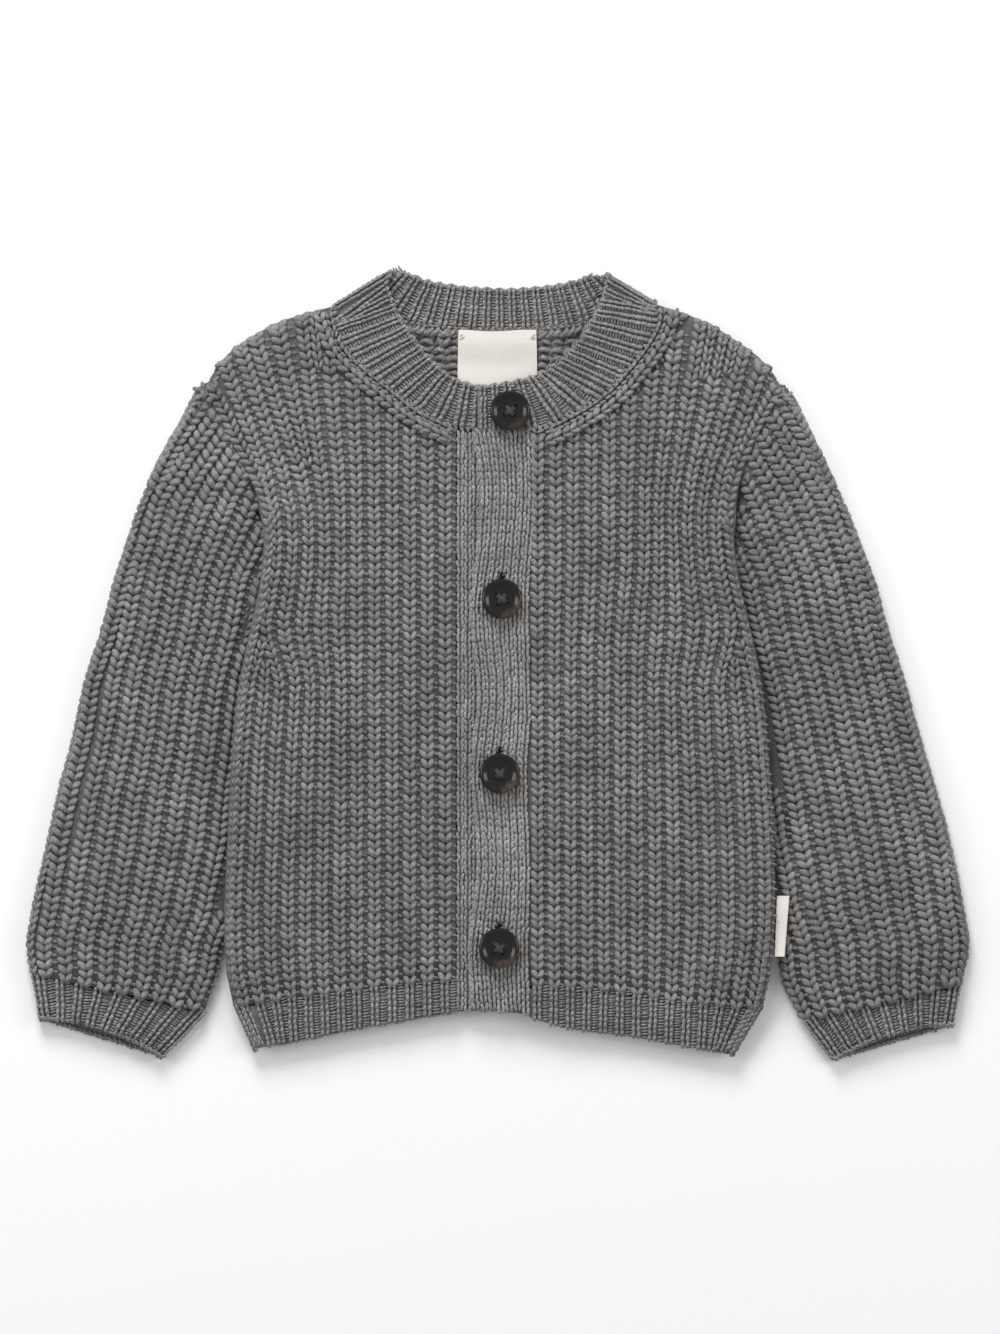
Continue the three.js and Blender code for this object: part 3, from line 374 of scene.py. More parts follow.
CENTRE_EDGE = {"right": [(-17.6, -132.2), (-17.6, -20), (-17.6, 98.9)],
               "left": [(13.2, -134.6), (12.65, -121), (13.25, -88), (11.95, -44.5), (13.25, -22),
                        (12.85, 29), (15.35, 67), (15.15, 97.6)]}
print("neckband", len(NECK_RIGHT) + len(NECK_BACK) + len(NECK_LEFT), "stations,", len(BUTTONS), "buttons")

# %% [markdown]
# ## Yarn
# All the knitting is made of one thing: a short length of plump yarn. It could be a curve with a
# round bevel, but a mesh can be copied thousands of times at little cost and keeps its own
# coordinates: round the yarn, and along it. So it is a closed tube along a bent path, thin at both
# ends, and its fibres will follow those coordinates later.


# %% A length of yarn
END_DOME = 0.6  # how far a tube's end stands out, as a share of its radius


def yarn(path, radii, sides, flat=1.0):
    """Closed tube along a path: vertices, faces, and yarn coordinates for each face corner."""
    path = np.asarray(path, float)
    radii = np.asarray(radii, float)
    travel = unit(np.gradient(path, axis=0))
    across = unit(np.cross(travel, (0, 0, 1)) + 1e-9)
    lift = np.cross(across, travel)
    turn = np.arange(sides) * 2 * math.pi / sides
    rings = (path[:, None, :]
             + across[:, None, :] * (np.cos(turn)[None, :, None] * radii[:, None, None])
             + lift[:, None, :] * (np.sin(turn)[None, :, None] * radii[:, None, None] * flat))
    count = len(path)
    verts = np.vstack([rings.reshape(-1, 3), path[0] - travel[0] * radii[0] * END_DOME,
                       path[-1] + travel[-1] * radii[-1] * END_DOME])
    s = lengths(path)
    first, last = count * sides, count * sides + 1
    faces, coordinates = [], []
    for i in range(count - 1):
        for j in range(sides):
            k = (j + 1) % sides
            faces.append((i * sides + j, i * sides + k, (i + 1) * sides + k, (i + 1) * sides + j))
            u, w = j / sides, (j + 1) / sides
            coordinates.append([(u, s[i]), (w, s[i]), (w, s[i + 1]), (u, s[i + 1])])
    for j in range(sides):
        k = (j + 1) % sides
        u, w = j / sides, (j + 1) / sides
        faces.append((first, k, j))
        coordinates.append([(u, s[0]), (w, s[0]), (u, s[0])])
        end = (count - 1) * sides
        faces.append((last, end + j, end + k))
        coordinates.append([(u, s[-1]), (u, s[-1]), (w, s[-1])])
    return verts, faces, coordinates


def triangles(mesh):
    """Triangles in a mesh, whatever its faces are."""
    return sum(len(p.vertices) - 2 for p in mesh.polygons)


def face_out(mesh):
    """Turns a closed mesh's faces outwards, judged by the sign of its volume."""
    if sum(f.area * f.normal.dot(f.center) for f in mesh.polygons) < 0:
        mesh.flip_normals()


def mesh_of(name, tubes):
    """One mesh in metres from several lengths of yarn given in millimetres."""
    verts, faces, coordinates = [], [], []
    for tube_verts, tube_faces, tube_coordinates in tubes:
        faces += [tuple(i + len(verts) for i in face) for face in tube_faces]
        verts += [tuple(v * MM) for v in tube_verts]
        coordinates += [c for face in tube_coordinates for c in face]
    mesh = bpy.data.meshes.new(name)
    mesh.from_pydata(verts, [], faces)
    layer = mesh.uv_layers.new(name="yarn")
    layer.data.foreach_set("uv", np.array(coordinates, float).ravel())
    mesh.polygons.foreach_set("use_smooth", [True] * len(mesh.polygons))
    face_out(mesh)
    return mesh


length = yarn([(0, 0, 0), (0, 1, 0), (0, 2, 0)], [1, 1, 1], 6)
print("a straight length of yarn has", len(length[1]), "faces")

# %% [markdown]
# ## Stitches
# Seen from the front a rib stitch is two lengths of yarn that lean together into a V, with a low bar
# in the channel beside it. The fine rib of the trims has the same stitch with upright legs, the
# bands have a tiny one, and the wrong side of the cloth shows low arches. Each kind is modelled once
# here, small and with few faces, because thousands of copies follow.


# %% Parts of a stitch
def arm(top, bottom, radius, sides, rings, crown, depth, bow):
    """One leg of a stitch: it dives at both ends, swells in the middle and bows outwards."""
    t = np.linspace(0, 1, rings)
    hump = np.sin(math.pi * t)
    x = top[0] + (bottom[0] - top[0]) * t + bow * np.sign(top[0]) * hump
    y = top[1] + (bottom[1] - top[1]) * t
    z = crown - radius * 0.85 - depth * (1 - hump**0.8)
    swell = 0.62 + 0.38 * hump**0.7
    return yarn(np.stack([x, y, z], -1), radius * swell, sides, 0.85)


def bar(x0, x1, y0, y1, radius, z, sides=5):
    """A low strand across the channel between two wales."""
    low = z - 0.25
    path = [(x0, y0, low), ((x0 + x1) / 2, (y0 + y1) / 2, z), (x1, y1, low)]
    return yarn(path, [radius * 0.6, radius, radius * 0.6], sides)


def bump(width, rise, radius, sides=6):
    """A low arch across the wale, as on the wrong side of the cloth."""
    x = np.array([-0.5, -0.3, 0, 0.3, 0.5]) * width
    y = np.array([-0.4, 0.25, 0.6, 0.25, -0.4]) * rise
    z = np.array([-1.2, -0.5, -0.25, -0.5, -1.2])
    return yarn(np.stack([x, y, z], -1), radius * np.array([0.55, 0.9, 1, 0.9, 0.55]), sides)


# %% The stitches
RIB_PITCH, RIB_ROW = 7.3, 3.43  # a chunky stitch as modelled: its wale's width and its height
FINE_ROW = 2.5  # height of a stitch of the fine rib
BAND_PITCH, BAND_ROW = 3.15, 2.85  # a stitch of the bands: its width and its height
STITCHES = {
    "a_rib": [arm((-2.15, 1.75), (0.2, -1.45), 1.34, 6, 5, 0.9, 0.4, 0.1),
              arm((2.2, 1.95), (0.8, -1.6), 1.2, 6, 5, 0.9, 0.35, 0.1),
              bar(2.6, 4.75, 0.6, -0.1, 0.78, -0.8)],
    "b_plain_rib": [arm((-2.45, 1.6), (0.3, -1.35), 1.42, 5, 3, 0.85, 0.4, 0.1),
                    arm((2.5, 1.8), (0.95, -1.6), 1.22, 5, 3, 0.85, 0.4, 0.1)],
    "c_fine": [arm((-1.05, 1.35), (-1.0, -1.35), 0.86, 6, 3, 0.9, 0.12, 0.05),
               arm((1.05, 1.35), (1.0, -1.35), 0.86, 6, 3, 0.9, 0.12, 0.05),
               bar(1.5, 5.3, -1.0, -0.5, 0.5, -0.35, 4), bar(1.5, 5.3, 0.25, 0.75, 0.5, -0.35, 4)],
    "d_band": [arm((-1.05, 1.7), (-0.6, -1.55), 0.72, 6, 4, 0.5, 0.2, 0.05),
               arm((1.05, 1.7), (0.65, -1.55), 0.68, 6, 4, 0.5, 0.2, 0.05)],
    "e_purl": [bump(5.2, 1.25, 0.95)],
    "f_cord": [yarn([(-0.75, -1.5, -0.9), (0, 0, -0.35), (0.75, 1.5, -0.9)], [0.6, 1.0, 0.6], 6)],
    "g_plain_fine": [arm((-1.1, 1.35), (-1.0, -1.35), 0.8, 5, 3, 0.85, 0.15, 0.05),
                     arm((1.1, 1.35), (1.0, -1.35), 0.8, 5, 3, 0.85, 0.15, 0.05)],
    "h_arch": [bump(3.0, 1.5, 0.85, 5)],
}
KINDS = {name: index for index, name in enumerate(sorted(STITCHES))}
stitch_box = bpy.data.collections.new("stitches to copy")
bpy.context.scene.collection.children.link(stitch_box)
for name, tubes in STITCHES.items():
    model = bpy.data.objects.new(name, mesh_of(name, tubes))
    stitch_box.objects.link(model)
    print(name, triangles(model.data), "triangles")

# %% [markdown]
# ## Heather
# The yarn is a heather grey: dark and pale fibres are spun together, so no two stitches are the same
# grey. It could be one grey with noise, but then the speckles would lie across the yarn instead of
# along it. So one node group mixes three greys. A speckle in object space gives the mixture, streaks
# in yarn coordinates give the fibres that run along the yarn, and a tone that each stitch carries
# shifts it as a whole. The group also puts out a height, for the bump of the twisted plies.


# %% The heather group
FIBRES = {"Dark": 0.092, "Middle": 0.2, "Pale": 0.47}  # greys of the fibres spun together
PLIES = 2


def heather_group():
    """Shader group: three greys, plies, twist and tone in; colour and height out."""
    group = bpy.data.node_groups.new("heather wool", "ShaderNodeTree")
    face = group.interface
    for name, grey in FIBRES.items():
        socket = face.new_socket(name, in_out="INPUT", socket_type="NodeSocketColor")
        socket.default_value = (grey, grey, grey, 1)
    for name, value in (("Plies", PLIES), ("Twist", 0.35), ("Tone", 0.5)):
        face.new_socket(name, in_out="INPUT", socket_type="NodeSocketFloat").default_value = value
    face.new_socket("Color", in_out="OUTPUT", socket_type="NodeSocketColor")
    face.new_socket("Height", in_out="OUTPUT", socket_type="NodeSocketFloat")
    new, link = group.nodes.new, group.links.new
    given, made = new("NodeGroupInput"), new("NodeGroupOutput")
    place = new("ShaderNodeTexCoord")

    def noise(vector, scale, detail, roughness=0.55):
        node = new("ShaderNodeTexNoise")
        node.inputs["Scale"].default_value = scale
        node.inputs["Detail"].default_value = detail
        node.inputs["Roughness"].default_value = roughness
        link(vector, node.inputs["Vector"])
        return node.outputs["Fac"]

    def maths(operation, *values):
        node = new("ShaderNodeMath")
        node.operation = operation
        for socket, value in zip(node.inputs, values):
            if isinstance(value, (int, float)):
                socket.default_value = value
            else:
                link(value, socket)
        return node.outputs[0]

    # fibres: long streaks in the yarn's own coordinates, moved apart from stitch to stitch
    along = new("ShaderNodeUVMap")
    along.uv_map = "yarn"
    stretch = new("ShaderNodeMapping")
    stretch.inputs["Scale"].default_value = (13, 0.7, 1)
    link(along.outputs["UV"], stretch.inputs["Vector"])
    lump = new("ShaderNodeTexNoise")
    lump.inputs["Scale"].default_value = 160
    lump.inputs["Detail"].default_value = 0
    link(place.outputs["Object"], lump.inputs["Vector"])
    spread = new("ShaderNodeVectorMath")
    spread.operation = "SCALE"
    spread.inputs["Scale"].default_value = 37
    link(lump.outputs["Color"], spread.inputs[0])
    shift = new("ShaderNodeVectorMath")
    shift.operation = "ADD"
    link(stretch.outputs["Vector"], shift.inputs[0])
    link(spread.outputs["Vector"], shift.inputs[1])
    streak = noise(shift.outputs["Vector"], 1.0, 3)

    # the mixture: streaks and speckle, then the stitch's own tone and a slow cloud over the cloth
    speckle = noise(place.outputs["Object"], 1500, 3, 0.7)
    cloud = noise(place.outputs["Object"], 45, 2)
    mixed = maths("ADD", maths("MULTIPLY", streak, 0.55), maths("MULTIPLY", speckle, 0.45))
    toned = maths("ADD", mixed, maths("MULTIPLY", maths("SUBTRACT", given.outputs["Tone"], 0.5), 0.16))
    patchy = maths("ADD", toned, maths("MULTIPLY", maths("SUBTRACT", cloud, 0.5), 0.16))

    # its low end runs from dark to middle fibres, its high end on to pale ones
    low = new("ShaderNodeMix")
    low.data_type = "RGBA"
    high = new("ShaderNodeMix")
    high.data_type = "RGBA"
    link(given.outputs["Dark"], low.inputs["A"])
    link(given.outputs["Middle"], low.inputs["B"])
    link(low.outputs["Result"], high.inputs["A"])
    link(given.outputs["Pale"], high.inputs["B"])
    for mix, start, end in ((low, 0.32, 0.5), (high, 0.5, 0.74)):
        ramp = new("ShaderNodeMapRange")
        ramp.inputs["From Min"].default_value = start
        ramp.inputs["From Max"].default_value = end
        link(patchy, ramp.inputs["Value"])
        link(ramp.outputs["Result"], mix.inputs["Factor"])
    link(high.outputs["Result"], made.inputs["Color"])

    # the height: plies that wind round the yarn, roughened by its fibres
    parts = new("ShaderNodeSeparateXYZ")
    link(along.outputs["UV"], parts.inputs["Vector"])
    winding = maths("ADD", maths("MULTIPLY", parts.outputs["X"], given.outputs["Plies"]),
                    maths("MULTIPLY", parts.outputs["Y"], given.outputs["Twist"]))
    plies = maths("SINE", maths("MULTIPLY", winding, 2 * math.pi))
    link(maths("ADD", maths("MULTIPLY", plies, 0.5), streak), made.inputs["Height"])
    return group


HEATHER = heather_group()
print("heather", [item.name for item in HEATHER.interface.items_tree])

# %% [markdown]
# ## Wool finishes
# The same yarn looks different in each knitting. The close stockinette of the bands catches more
# light than the open rib, and the cloth behind the stitches is nearly hidden in shade. Fuzz and light
# lost between the fibres would make this difference, but stitches this simple don't have them, so
# each finish is a lighter or darker copy of the same grey: painted light on the fine rib and the
# bands, painted shade on the cloth behind the stitches. Wool is matt, with a faint sheen.


# %% Wool finishes
WARMTH = np.array([1, 0.985, 0.955])  # the grey leans a little to brown
PLY_RELIEF = 0.7  # height of the plies' bump


def embossed(material, height, strength, depth):
    """Gives a finish its relief: where its height comes from, how strong and how deep it is."""
    nodes, links = material.node_tree.nodes, material.node_tree.links
    relief = nodes.new("ShaderNodeBump")
    relief.inputs["Strength"].default_value = strength
    relief.inputs["Distance"].default_value = depth * MM
    links.new(height, relief.inputs["Height"])
    links.new(relief.outputs["Normal"], nodes["Principled BSDF"].inputs["Normal"])
    return material


def wool(name, twist, strength, shade=1.0):
    """A wool finish: how the plies wind, how strongly they show, and a share of the yarn's grey:
    above one it paints light on the knitting, below one it paints shade.
    """
    material, nodes, links, skin = new_finish(name, {
        "Roughness": 0.86, "Specular IOR Level": 0.2, "Sheen Weight": 0.12, "Sheen Roughness": 0.5})
    mixture = nodes.new("ShaderNodeGroup")
    mixture.node_tree = HEATHER
    for socket, grey in FIBRES.items():
        mixture.inputs[socket].default_value = (*(grey * shade * WARMTH), 1)
    mixture.inputs["Plies"].default_value = PLIES
    mixture.inputs["Twist"].default_value = twist
    tone = nodes.new("ShaderNodeAttribute")
    tone.attribute_name = "tone"
    links.new(tone.outputs["Fac"], mixture.inputs["Tone"])
    links.new(mixture.outputs["Color"], skin.inputs["Base Color"])
    return embossed(material, mixture.outputs["Height"], strength, PLY_RELIEF)


# the fine rib and the bands get lighter copies of the rib's grey, as painted light; the linings below get
# darker ones, as painted shade
RIB_WOOL = wool("rib wool", 0.3, 0.6)
FINE_WOOL_PAINTED_LIGHT = wool("fine wool", 0.6, 0.5, shade=1.11)
BAND_WOOL_PAINTED_LIGHT = wool("band wool", 0.6, 0.35, shade=1.27)
LINING_WOOL_PAINTED_SHADE = wool("wool in the channels", 0.5, 0.4, shade=0.57)
FINE_LINING_PAINTED_SHADE = wool("wool behind the fine rib", 0.5, 0.4, shade=0.74)
BAND_LINING_PAINTED_SHADE = wool("wool behind the bands", 0.5, 0.4, shade=0.62)
print("finishes", [material.name for material in bpy.data.materials if "wool" in material.name])

# %% [markdown]
# ## Copies of a stitch
# A stitch is modelled once and copied many times. Copying objects one by one would take minutes, so
# each piece of knitting is first a cloud of points, and a point carries what its stitch needs: which
# kind it is, how it is turned, and its size. Geometry Nodes puts a stitch on every point and makes
# the copies real, so that the piece is one plain mesh.


# %% The copier
def copier_group():
    """Geometry Nodes group: a stitch of the right kind, turn and size on every point."""
    group = bpy.data.node_groups.new("stitch copies", "GeometryNodeTree")
    for way in ("INPUT", "OUTPUT"):
        group.interface.new_socket("Geometry", in_out=way, socket_type="NodeSocketGeometry")
    new, link = group.nodes.new, group.links.new
    given, made = new("NodeGroupInput"), new("NodeGroupOutput")
    models = new("GeometryNodeCollectionInfo")
    models.inputs["Collection"].default_value = stitch_box
    models.inputs["Separate Children"].default_value = True
    models.inputs["Reset Children"].default_value = True
    copies = new("GeometryNodeInstanceOnPoints")
    copies.inputs["Pick Instance"].default_value = True
    turn_to_rotation = new("FunctionNodeEulerToRotation")
    for key, form, socket in (("turn", "FLOAT_VECTOR", turn_to_rotation.inputs[0]),
                              ("size", "FLOAT_VECTOR", copies.inputs["Scale"]),
                              ("kind", "INT", copies.inputs["Instance Index"])):
        read = new("GeometryNodeInputNamedAttribute")
        read.data_type = form
        read.inputs["Name"].default_value = key
        link(read.outputs["Attribute"], socket)
    link(turn_to_rotation.outputs[0], copies.inputs["Rotation"])
    link(given.outputs[0], copies.inputs["Points"])
    link(models.outputs[0], copies.inputs["Instance"])
    real = new("GeometryNodeRealizeInstances")
    link(copies.outputs[0], real.inputs[0])
    link(real.outputs[0], made.inputs[0])
    return group


COPIER = copier_group()
print("copier", len(COPIER.nodes), "nodes")

# %% [markdown]
# ## A piece of knitting
# Hand-made knitting is never quite even. So every stitch that is laid gets a small random change of
# size, lean and place, from a generator with a fixed seed, and a tone of its own for the heather.
# Stitching collects the stitches of one piece, and at the end it makes them a mesh.


# %% Stitching
# spreads of the random changes: shares of size and lean, millimetres of place, and shares of tone
UNEVEN_SIZE, UNEVEN_LEAN, UNEVEN_PLACE, UNEVEN_TONE = 0.045, 0.05, 0.1, 0.16


def chosen(piece):
    """Selects one object alone and makes it active."""
    bpy.ops.object.select_all(action="DESELECT")
    piece.select_set(True)
    bpy.context.view_layer.objects.active = piece


def turns(along, up):
    """Euler turns that take Y to a direction along the cloth and Z to one away from it."""
    y = unit(along)
    z = unit(up - y * (up * y).sum(-1, keepdims=True))
    x = np.cross(y, z)
    return np.stack([np.arctan2(y[:, 2], z[:, 2]), -np.arcsin(np.clip(x[:, 2], -1, 1)),
                     np.arctan2(x[:, 1], x[:, 0])], -1)


class Stitching:
    """Collects stitches for one piece of knitting."""

    def __init__(self):
        self.rows = []

    def lay(self, kind, place, along, up, size, jitter=1.0):
        """Adds stitches; size is (across, along, high) as shares of the stitch as modelled."""
        count = len(place)
        if count == 0:
            return
        size = np.broadcast_to(np.asarray(size, float), (count, 3))
        size = size * (1 + rng.normal(0, UNEVEN_SIZE * jitter, (count, 3)))
        lean = rng.normal(0, UNEVEN_LEAN * jitter, (count, 1))
        side = np.cross(along, up)
        shift = rng.normal(0, UNEVEN_PLACE * jitter, (count, 3))
        slow = 0.5 + 0.25 * np.sin(place[:, 1] * 1.9 + 3 * np.sin(place[:, 0] * 0.021))
        tone = 0.6 * rng.normal(0.5, UNEVEN_TONE, count) + 0.4 * slow
        self.rows.append((np.full(count, KINDS[kind]), place + shift, along + side * lean, up, size, tone))

    def piece(self, name, finish):
        """The stitches laid so far as one mesh that rides on the cardigan."""
        kind, place, along, up, size, tone = (np.concatenate(column) for column in zip(*self.rows))
        mesh = bpy.data.meshes.new(name)
        mesh.from_pydata(place * MM, [], [])
        for key, value in (("turn", turns(along, up)), ("size", size)):
            mesh.attributes.new(key, "FLOAT_VECTOR", "POINT").data.foreach_set("vector", value.ravel())
        mesh.attributes.new("kind", "INT", "POINT").data.foreach_set("value", kind)
        mesh.attributes.new("tone", "FLOAT", "POINT").data.foreach_set("value", tone)
        knitting = bpy.data.objects.new(name, mesh)
        bpy.context.collection.objects.link(knitting)
        chosen(knitting)
        copier = knitting.modifiers.new("copies", "NODES")
        copier.node_group = COPIER
        bpy.ops.object.modifier_apply(modifier=copier.name)
        mesh = knitting.data
        for key in ("turn", "size", "kind"):
            if key in mesh.attributes:
                mesh.attributes.remove(mesh.attributes[key])
        mesh.materials.clear()
        mesh.materials.append(finish)
        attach(knitting, "root")
        print(name, len(place), "stitches,", triangles(mesh), "triangles")
        return knitting


print("kinds of stitch", KINDS)

# %% [markdown]
# ## Feeling for the cloth
# Where the cloth lies is asked from the imported solids: a ray straight down or up finds the skin of a
# node, and two more to each side give its slope. A Shrinkwrap modifier could do this for a finished
# mesh, but a stitch has to know the slope before it is turned. So each stitch sits on the real form.


# %% Skins
ABOVE_ALL, BELOW_ALL = 50, -20  # where the rays start
STEEPEST = 1.0  # a stitch doesn't tip further than this slope


def tree_of(node):
    """Search tree of a node's own mesh."""
    mesh = NODES[node].data
    return BVHTree.FromPolygons([v.co for v in mesh.vertices], [tuple(p.vertices) for p in mesh.polygons])


TREES = {name: tree_of(name) for name in NODES if not name.startswith("button_thread")}


def heights(node, xy, from_above=True, margin=0.0):
    """Height of a node's skin; points outside it by less than the margin take the nearest edge's."""
    start, way = (ABOVE_ALL * MM, -1) if from_above else (BELOW_ALL * MM, 1)
    found = []
    for x, y in xy:
        hit = TREES[node].ray_cast((x * MM, y * MM, start), (0, 0, way))[0]
        if hit is None and margin:
            edge = TREES[node].find_nearest((x * MM, y * MM, 0.01 if from_above else 0))[0]
            hit = edge if math.hypot(edge.x / MM - x, edge.y / MM - y) < margin else None
        found.append(hit.z / MM if hit else np.nan)
    return np.array(found)


def on_skin(node, xy, along, from_above=True, reach=2.4, margin=0.0):
    """Points on a node's skin, with the direction along it and away from it; misses are dropped."""
    z = heights(node, xy, from_above, margin)
    slope = np.zeros((len(xy), 2))
    for k in (0, 1):
        step = np.eye(2)[k] * reach
        ahead, behind = heights(node, xy + step, from_above), heights(node, xy - step, from_above)
        both = (ahead - behind) / (2 * reach)
        slope[:, k] = np.where(np.isfinite(both), both, np.nan_to_num((ahead - z) / reach)
                               + np.nan_to_num((z - behind) / reach))
    slope = np.clip(np.nan_to_num(slope), -STEEPEST, STEEPEST)
    up = unit(np.column_stack([-slope, np.ones(len(xy))]))
    travel = unit(np.column_stack([along, (slope * along).sum(-1)]))
    hit = np.isfinite(z)
    return np.column_stack([xy, z])[hit], travel[hit], (up if from_above else -up)[hit], hit


middle_spot = np.array([[-60.0, 0.0]])
print("right front at its middle: skin at", heights("front_right", middle_spot).round(2), "mm")

# %% [markdown]
# ## Linings
# Real knitting closes behind its stitches, and copies of a stitch leave gaps. A thin cloth behind
# them closes the piece, as the backs of the loops do, and it is painted dark: painted shade for the
# deep gaps between the stitches. It could be modelled anew, but the imported solid already has the
# right folds and edges. So a copy of the solid is merged, because its triangles are loose, and drawn
# in by about the thickness of the yarn. At an armhole it is let out past the seam instead, so that
# the table doesn't show between two pieces.


# %% One lining
LOWEST = 0.3  # nothing of the lining lies nearer to the table
NO_TONE = 0.5  # the heather's middle


def middle_of(node):
    """Middle of a node's box, seen from above."""
    low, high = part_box(node)
    return np.array([(low[0] + high[0]) / 2, (low[1] + high[1]) / 2]) / MM


def lining(node, name, inset, spread, finish):
    """A thin cloth inside a node's solid; spread is the share of the inset taken from its outline."""
    cloth = bpy.data.objects.new(name, NODES[node].data.copy())
    bpy.context.collection.objects.link(cloth)
    chosen(cloth)
    bpy.ops.object.mode_set(mode="EDIT")
    bpy.ops.mesh.select_all(action="SELECT")
    bpy.ops.mesh.remove_doubles(threshold=1e-6)
    bpy.ops.object.mode_set(mode="OBJECT")
    mesh = cloth.data
    normals = np.array([v.normal[:] for v in mesh.vertices])
    normals[:, 2] = np.sign(normals[:, 2]) * np.sqrt(np.abs(normals[:, 2]))
    places = np.array([v.co[:] for v in mesh.vertices]) / MM
    places -= normals * [spread * inset, spread * inset, inset]
    for line, reach, room in SEAM_ROOM.get(node, ()):
        near = distance(places, line) < room
        middle = line[np.argmin(((places[:, None, :2] - line[None, :, :2]) ** 2).sum(-1), axis=1)]
        away = unit(middle - middle_of(node))
        places[near, :2] += away[near, :2] * reach
    places[:, 2] = np.maximum(places[:, 2], LOWEST)
    mesh.vertices.foreach_set("co", (places * MM).ravel())
    tone = mesh.attributes.new("tone", "FLOAT", "POINT")
    tone.data.foreach_set("value", [NO_TONE] * len(mesh.vertices))
    bpy.ops.object.shade_smooth_by_angle(angle=math.radians(50))
    mesh.materials.clear()
    mesh.materials.append(finish)
    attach(cloth, "root")
    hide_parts(node)
    return cloth


UNDERARM_Y = 62  # the side edge is a fold below this height and a seam above it
ARMHOLE = {side: above(spline(points), UNDERARM_Y - 6) for side, points in SIDE.items()}
LET_OUT = 2.2  # how far cloth is let out past a seam
SEAM_ROOM = {  # cloth let out past a seam: the line, how far, and how near a point counts
    "front_right": [(ARMHOLE["right"], LET_OUT, 1.0)],
    "front_left": [(ARMHOLE["left"], LET_OUT, 1.0)],
    "back": [(ARMHOLE["right"], LET_OUT, 1.0), (ARMHOLE["left"], LET_OUT, 1.0)],
    "sleeve_right": [(above(ARMHOLE["right"], UNDERARM_Y), LET_OUT, 4.0)],
    "sleeve_left": [(above(ARMHOLE["left"], UNDERARM_Y), LET_OUT, 4.0)],
}
print("armholes", {side: round(lengths(line)[-1]) for side, line in ARMHOLE.items()}, "mm")

# %% All the linings
# every lining's finish is a darker copy of the yarn's grey, as painted shade behind the stitches
LINING_FITS = (  # nodes, how far the cloth is drawn in, its share at the outline, finish
    (("back",), 1.1, 0, LINING_WOOL_PAINTED_SHADE),
    (("front_right", "front_left"), 1.0, 0, LINING_WOOL_PAINTED_SHADE),
    (("sleeve_right", "sleeve_left"), 1.1, 0.6, LINING_WOOL_PAINTED_SHADE),
    (("back_hem", "front_right_hem", "front_left_hem"), 0.8, 0.3, FINE_LINING_PAINTED_SHADE),
    (("cuff_right", "cuff_left"), 0.8, 0.4, FINE_LINING_PAINTED_SHADE),
    (("neckband",), 0.85, 0.3, FINE_LINING_PAINTED_SHADE),
    (("button_band", "under_band"), 0.5, 0.2, BAND_LINING_PAINTED_SHADE),
)
LININGS = {node: lining(node, node + "_cloth", inset, spread, finish)
           for nodes, inset, spread, finish in LINING_FITS for node in nodes}
print("linings", {node: triangles(cloth.data) for node, cloth in LININGS.items()})

# %% [markdown]
# ## The wales of the fronts
# A wale is a column of stitches. On a front the inner wales run straight up. The others keep an even
# share of the room to the side edge, and above the underarm they fan out towards the shoulder, the
# more the nearer they are to the armhole. At the waist of the armhole seven outer wales are narrowed
# to five, which leaves the little mark of fully fashioned knitting, and on the right front one new
# wale starts where the fan opens too wide. The wales could be straight, as in a texture, but then
# the knitting would look printed. Drawing each one as a line is what makes it look made.


# %% Where the wales run
MARK_Y = 6  # height of the fashioning mark
LEAN_Y = 73  # height at which the wales begin to lean
WALE_ENDS = (-150, 156)  # heights between which a wale is drawn
MANY, FEW = 7, 5  # outer wales below and above the mark
INNER_WALES = {"right": [22.1 + 7.4 * k for k in range(6)], "left": [16.6 + 6.95 * k for k in range(7)]}
SPREAD = {"right": 0.0, "left": 0.52}  # how much each inner wale moves aside higher up
FAN = {  # distance of a wale from the middle, and how far it leans for each millimetre it climbs
    "right": ([45, 59, 67, 73, 80, 88, 95, 102], [0, 0.04, 0.085, 0.115, 0.335, 0.345, 0.38, 0.456]),
    "left": ([45, 61, 68, 74, 80, 86, 92, 98], [0, 0.06, 0.11, 0.165, 0.235, 0.3, 0.36, 0.44]),
}
EDGE_ROOM = {"right": 5.2, "left": 7.4}  # from the last wale to the side edge, above the mark
WIDEST_GAP = 9.3  # a wider gap in the fan gets a new wale
SHOULDER_Y = 125  # above this height a gap stays, because the wales are about to end


def edge_x(walk, y):
    """Distance from the middle of a side curve at given heights."""
    order = np.argsort(walk[:, 1])
    return np.interp(y, walk[order, 1], np.abs(walk[order, 0]))


def climb(y):
    """Height above the line where the wales begin to lean, with a soft start."""
    ramp = np.clip(y - (LEAN_Y - 10), 0, 20)
    return ramp**2 / 40 + np.clip(y - (LEAN_Y + 10), 0, None)


print("mark at", MARK_Y, "mm, lean from", LEAN_Y, "mm, climbed at the top", climb(WALE_ENDS[1]), "mm")


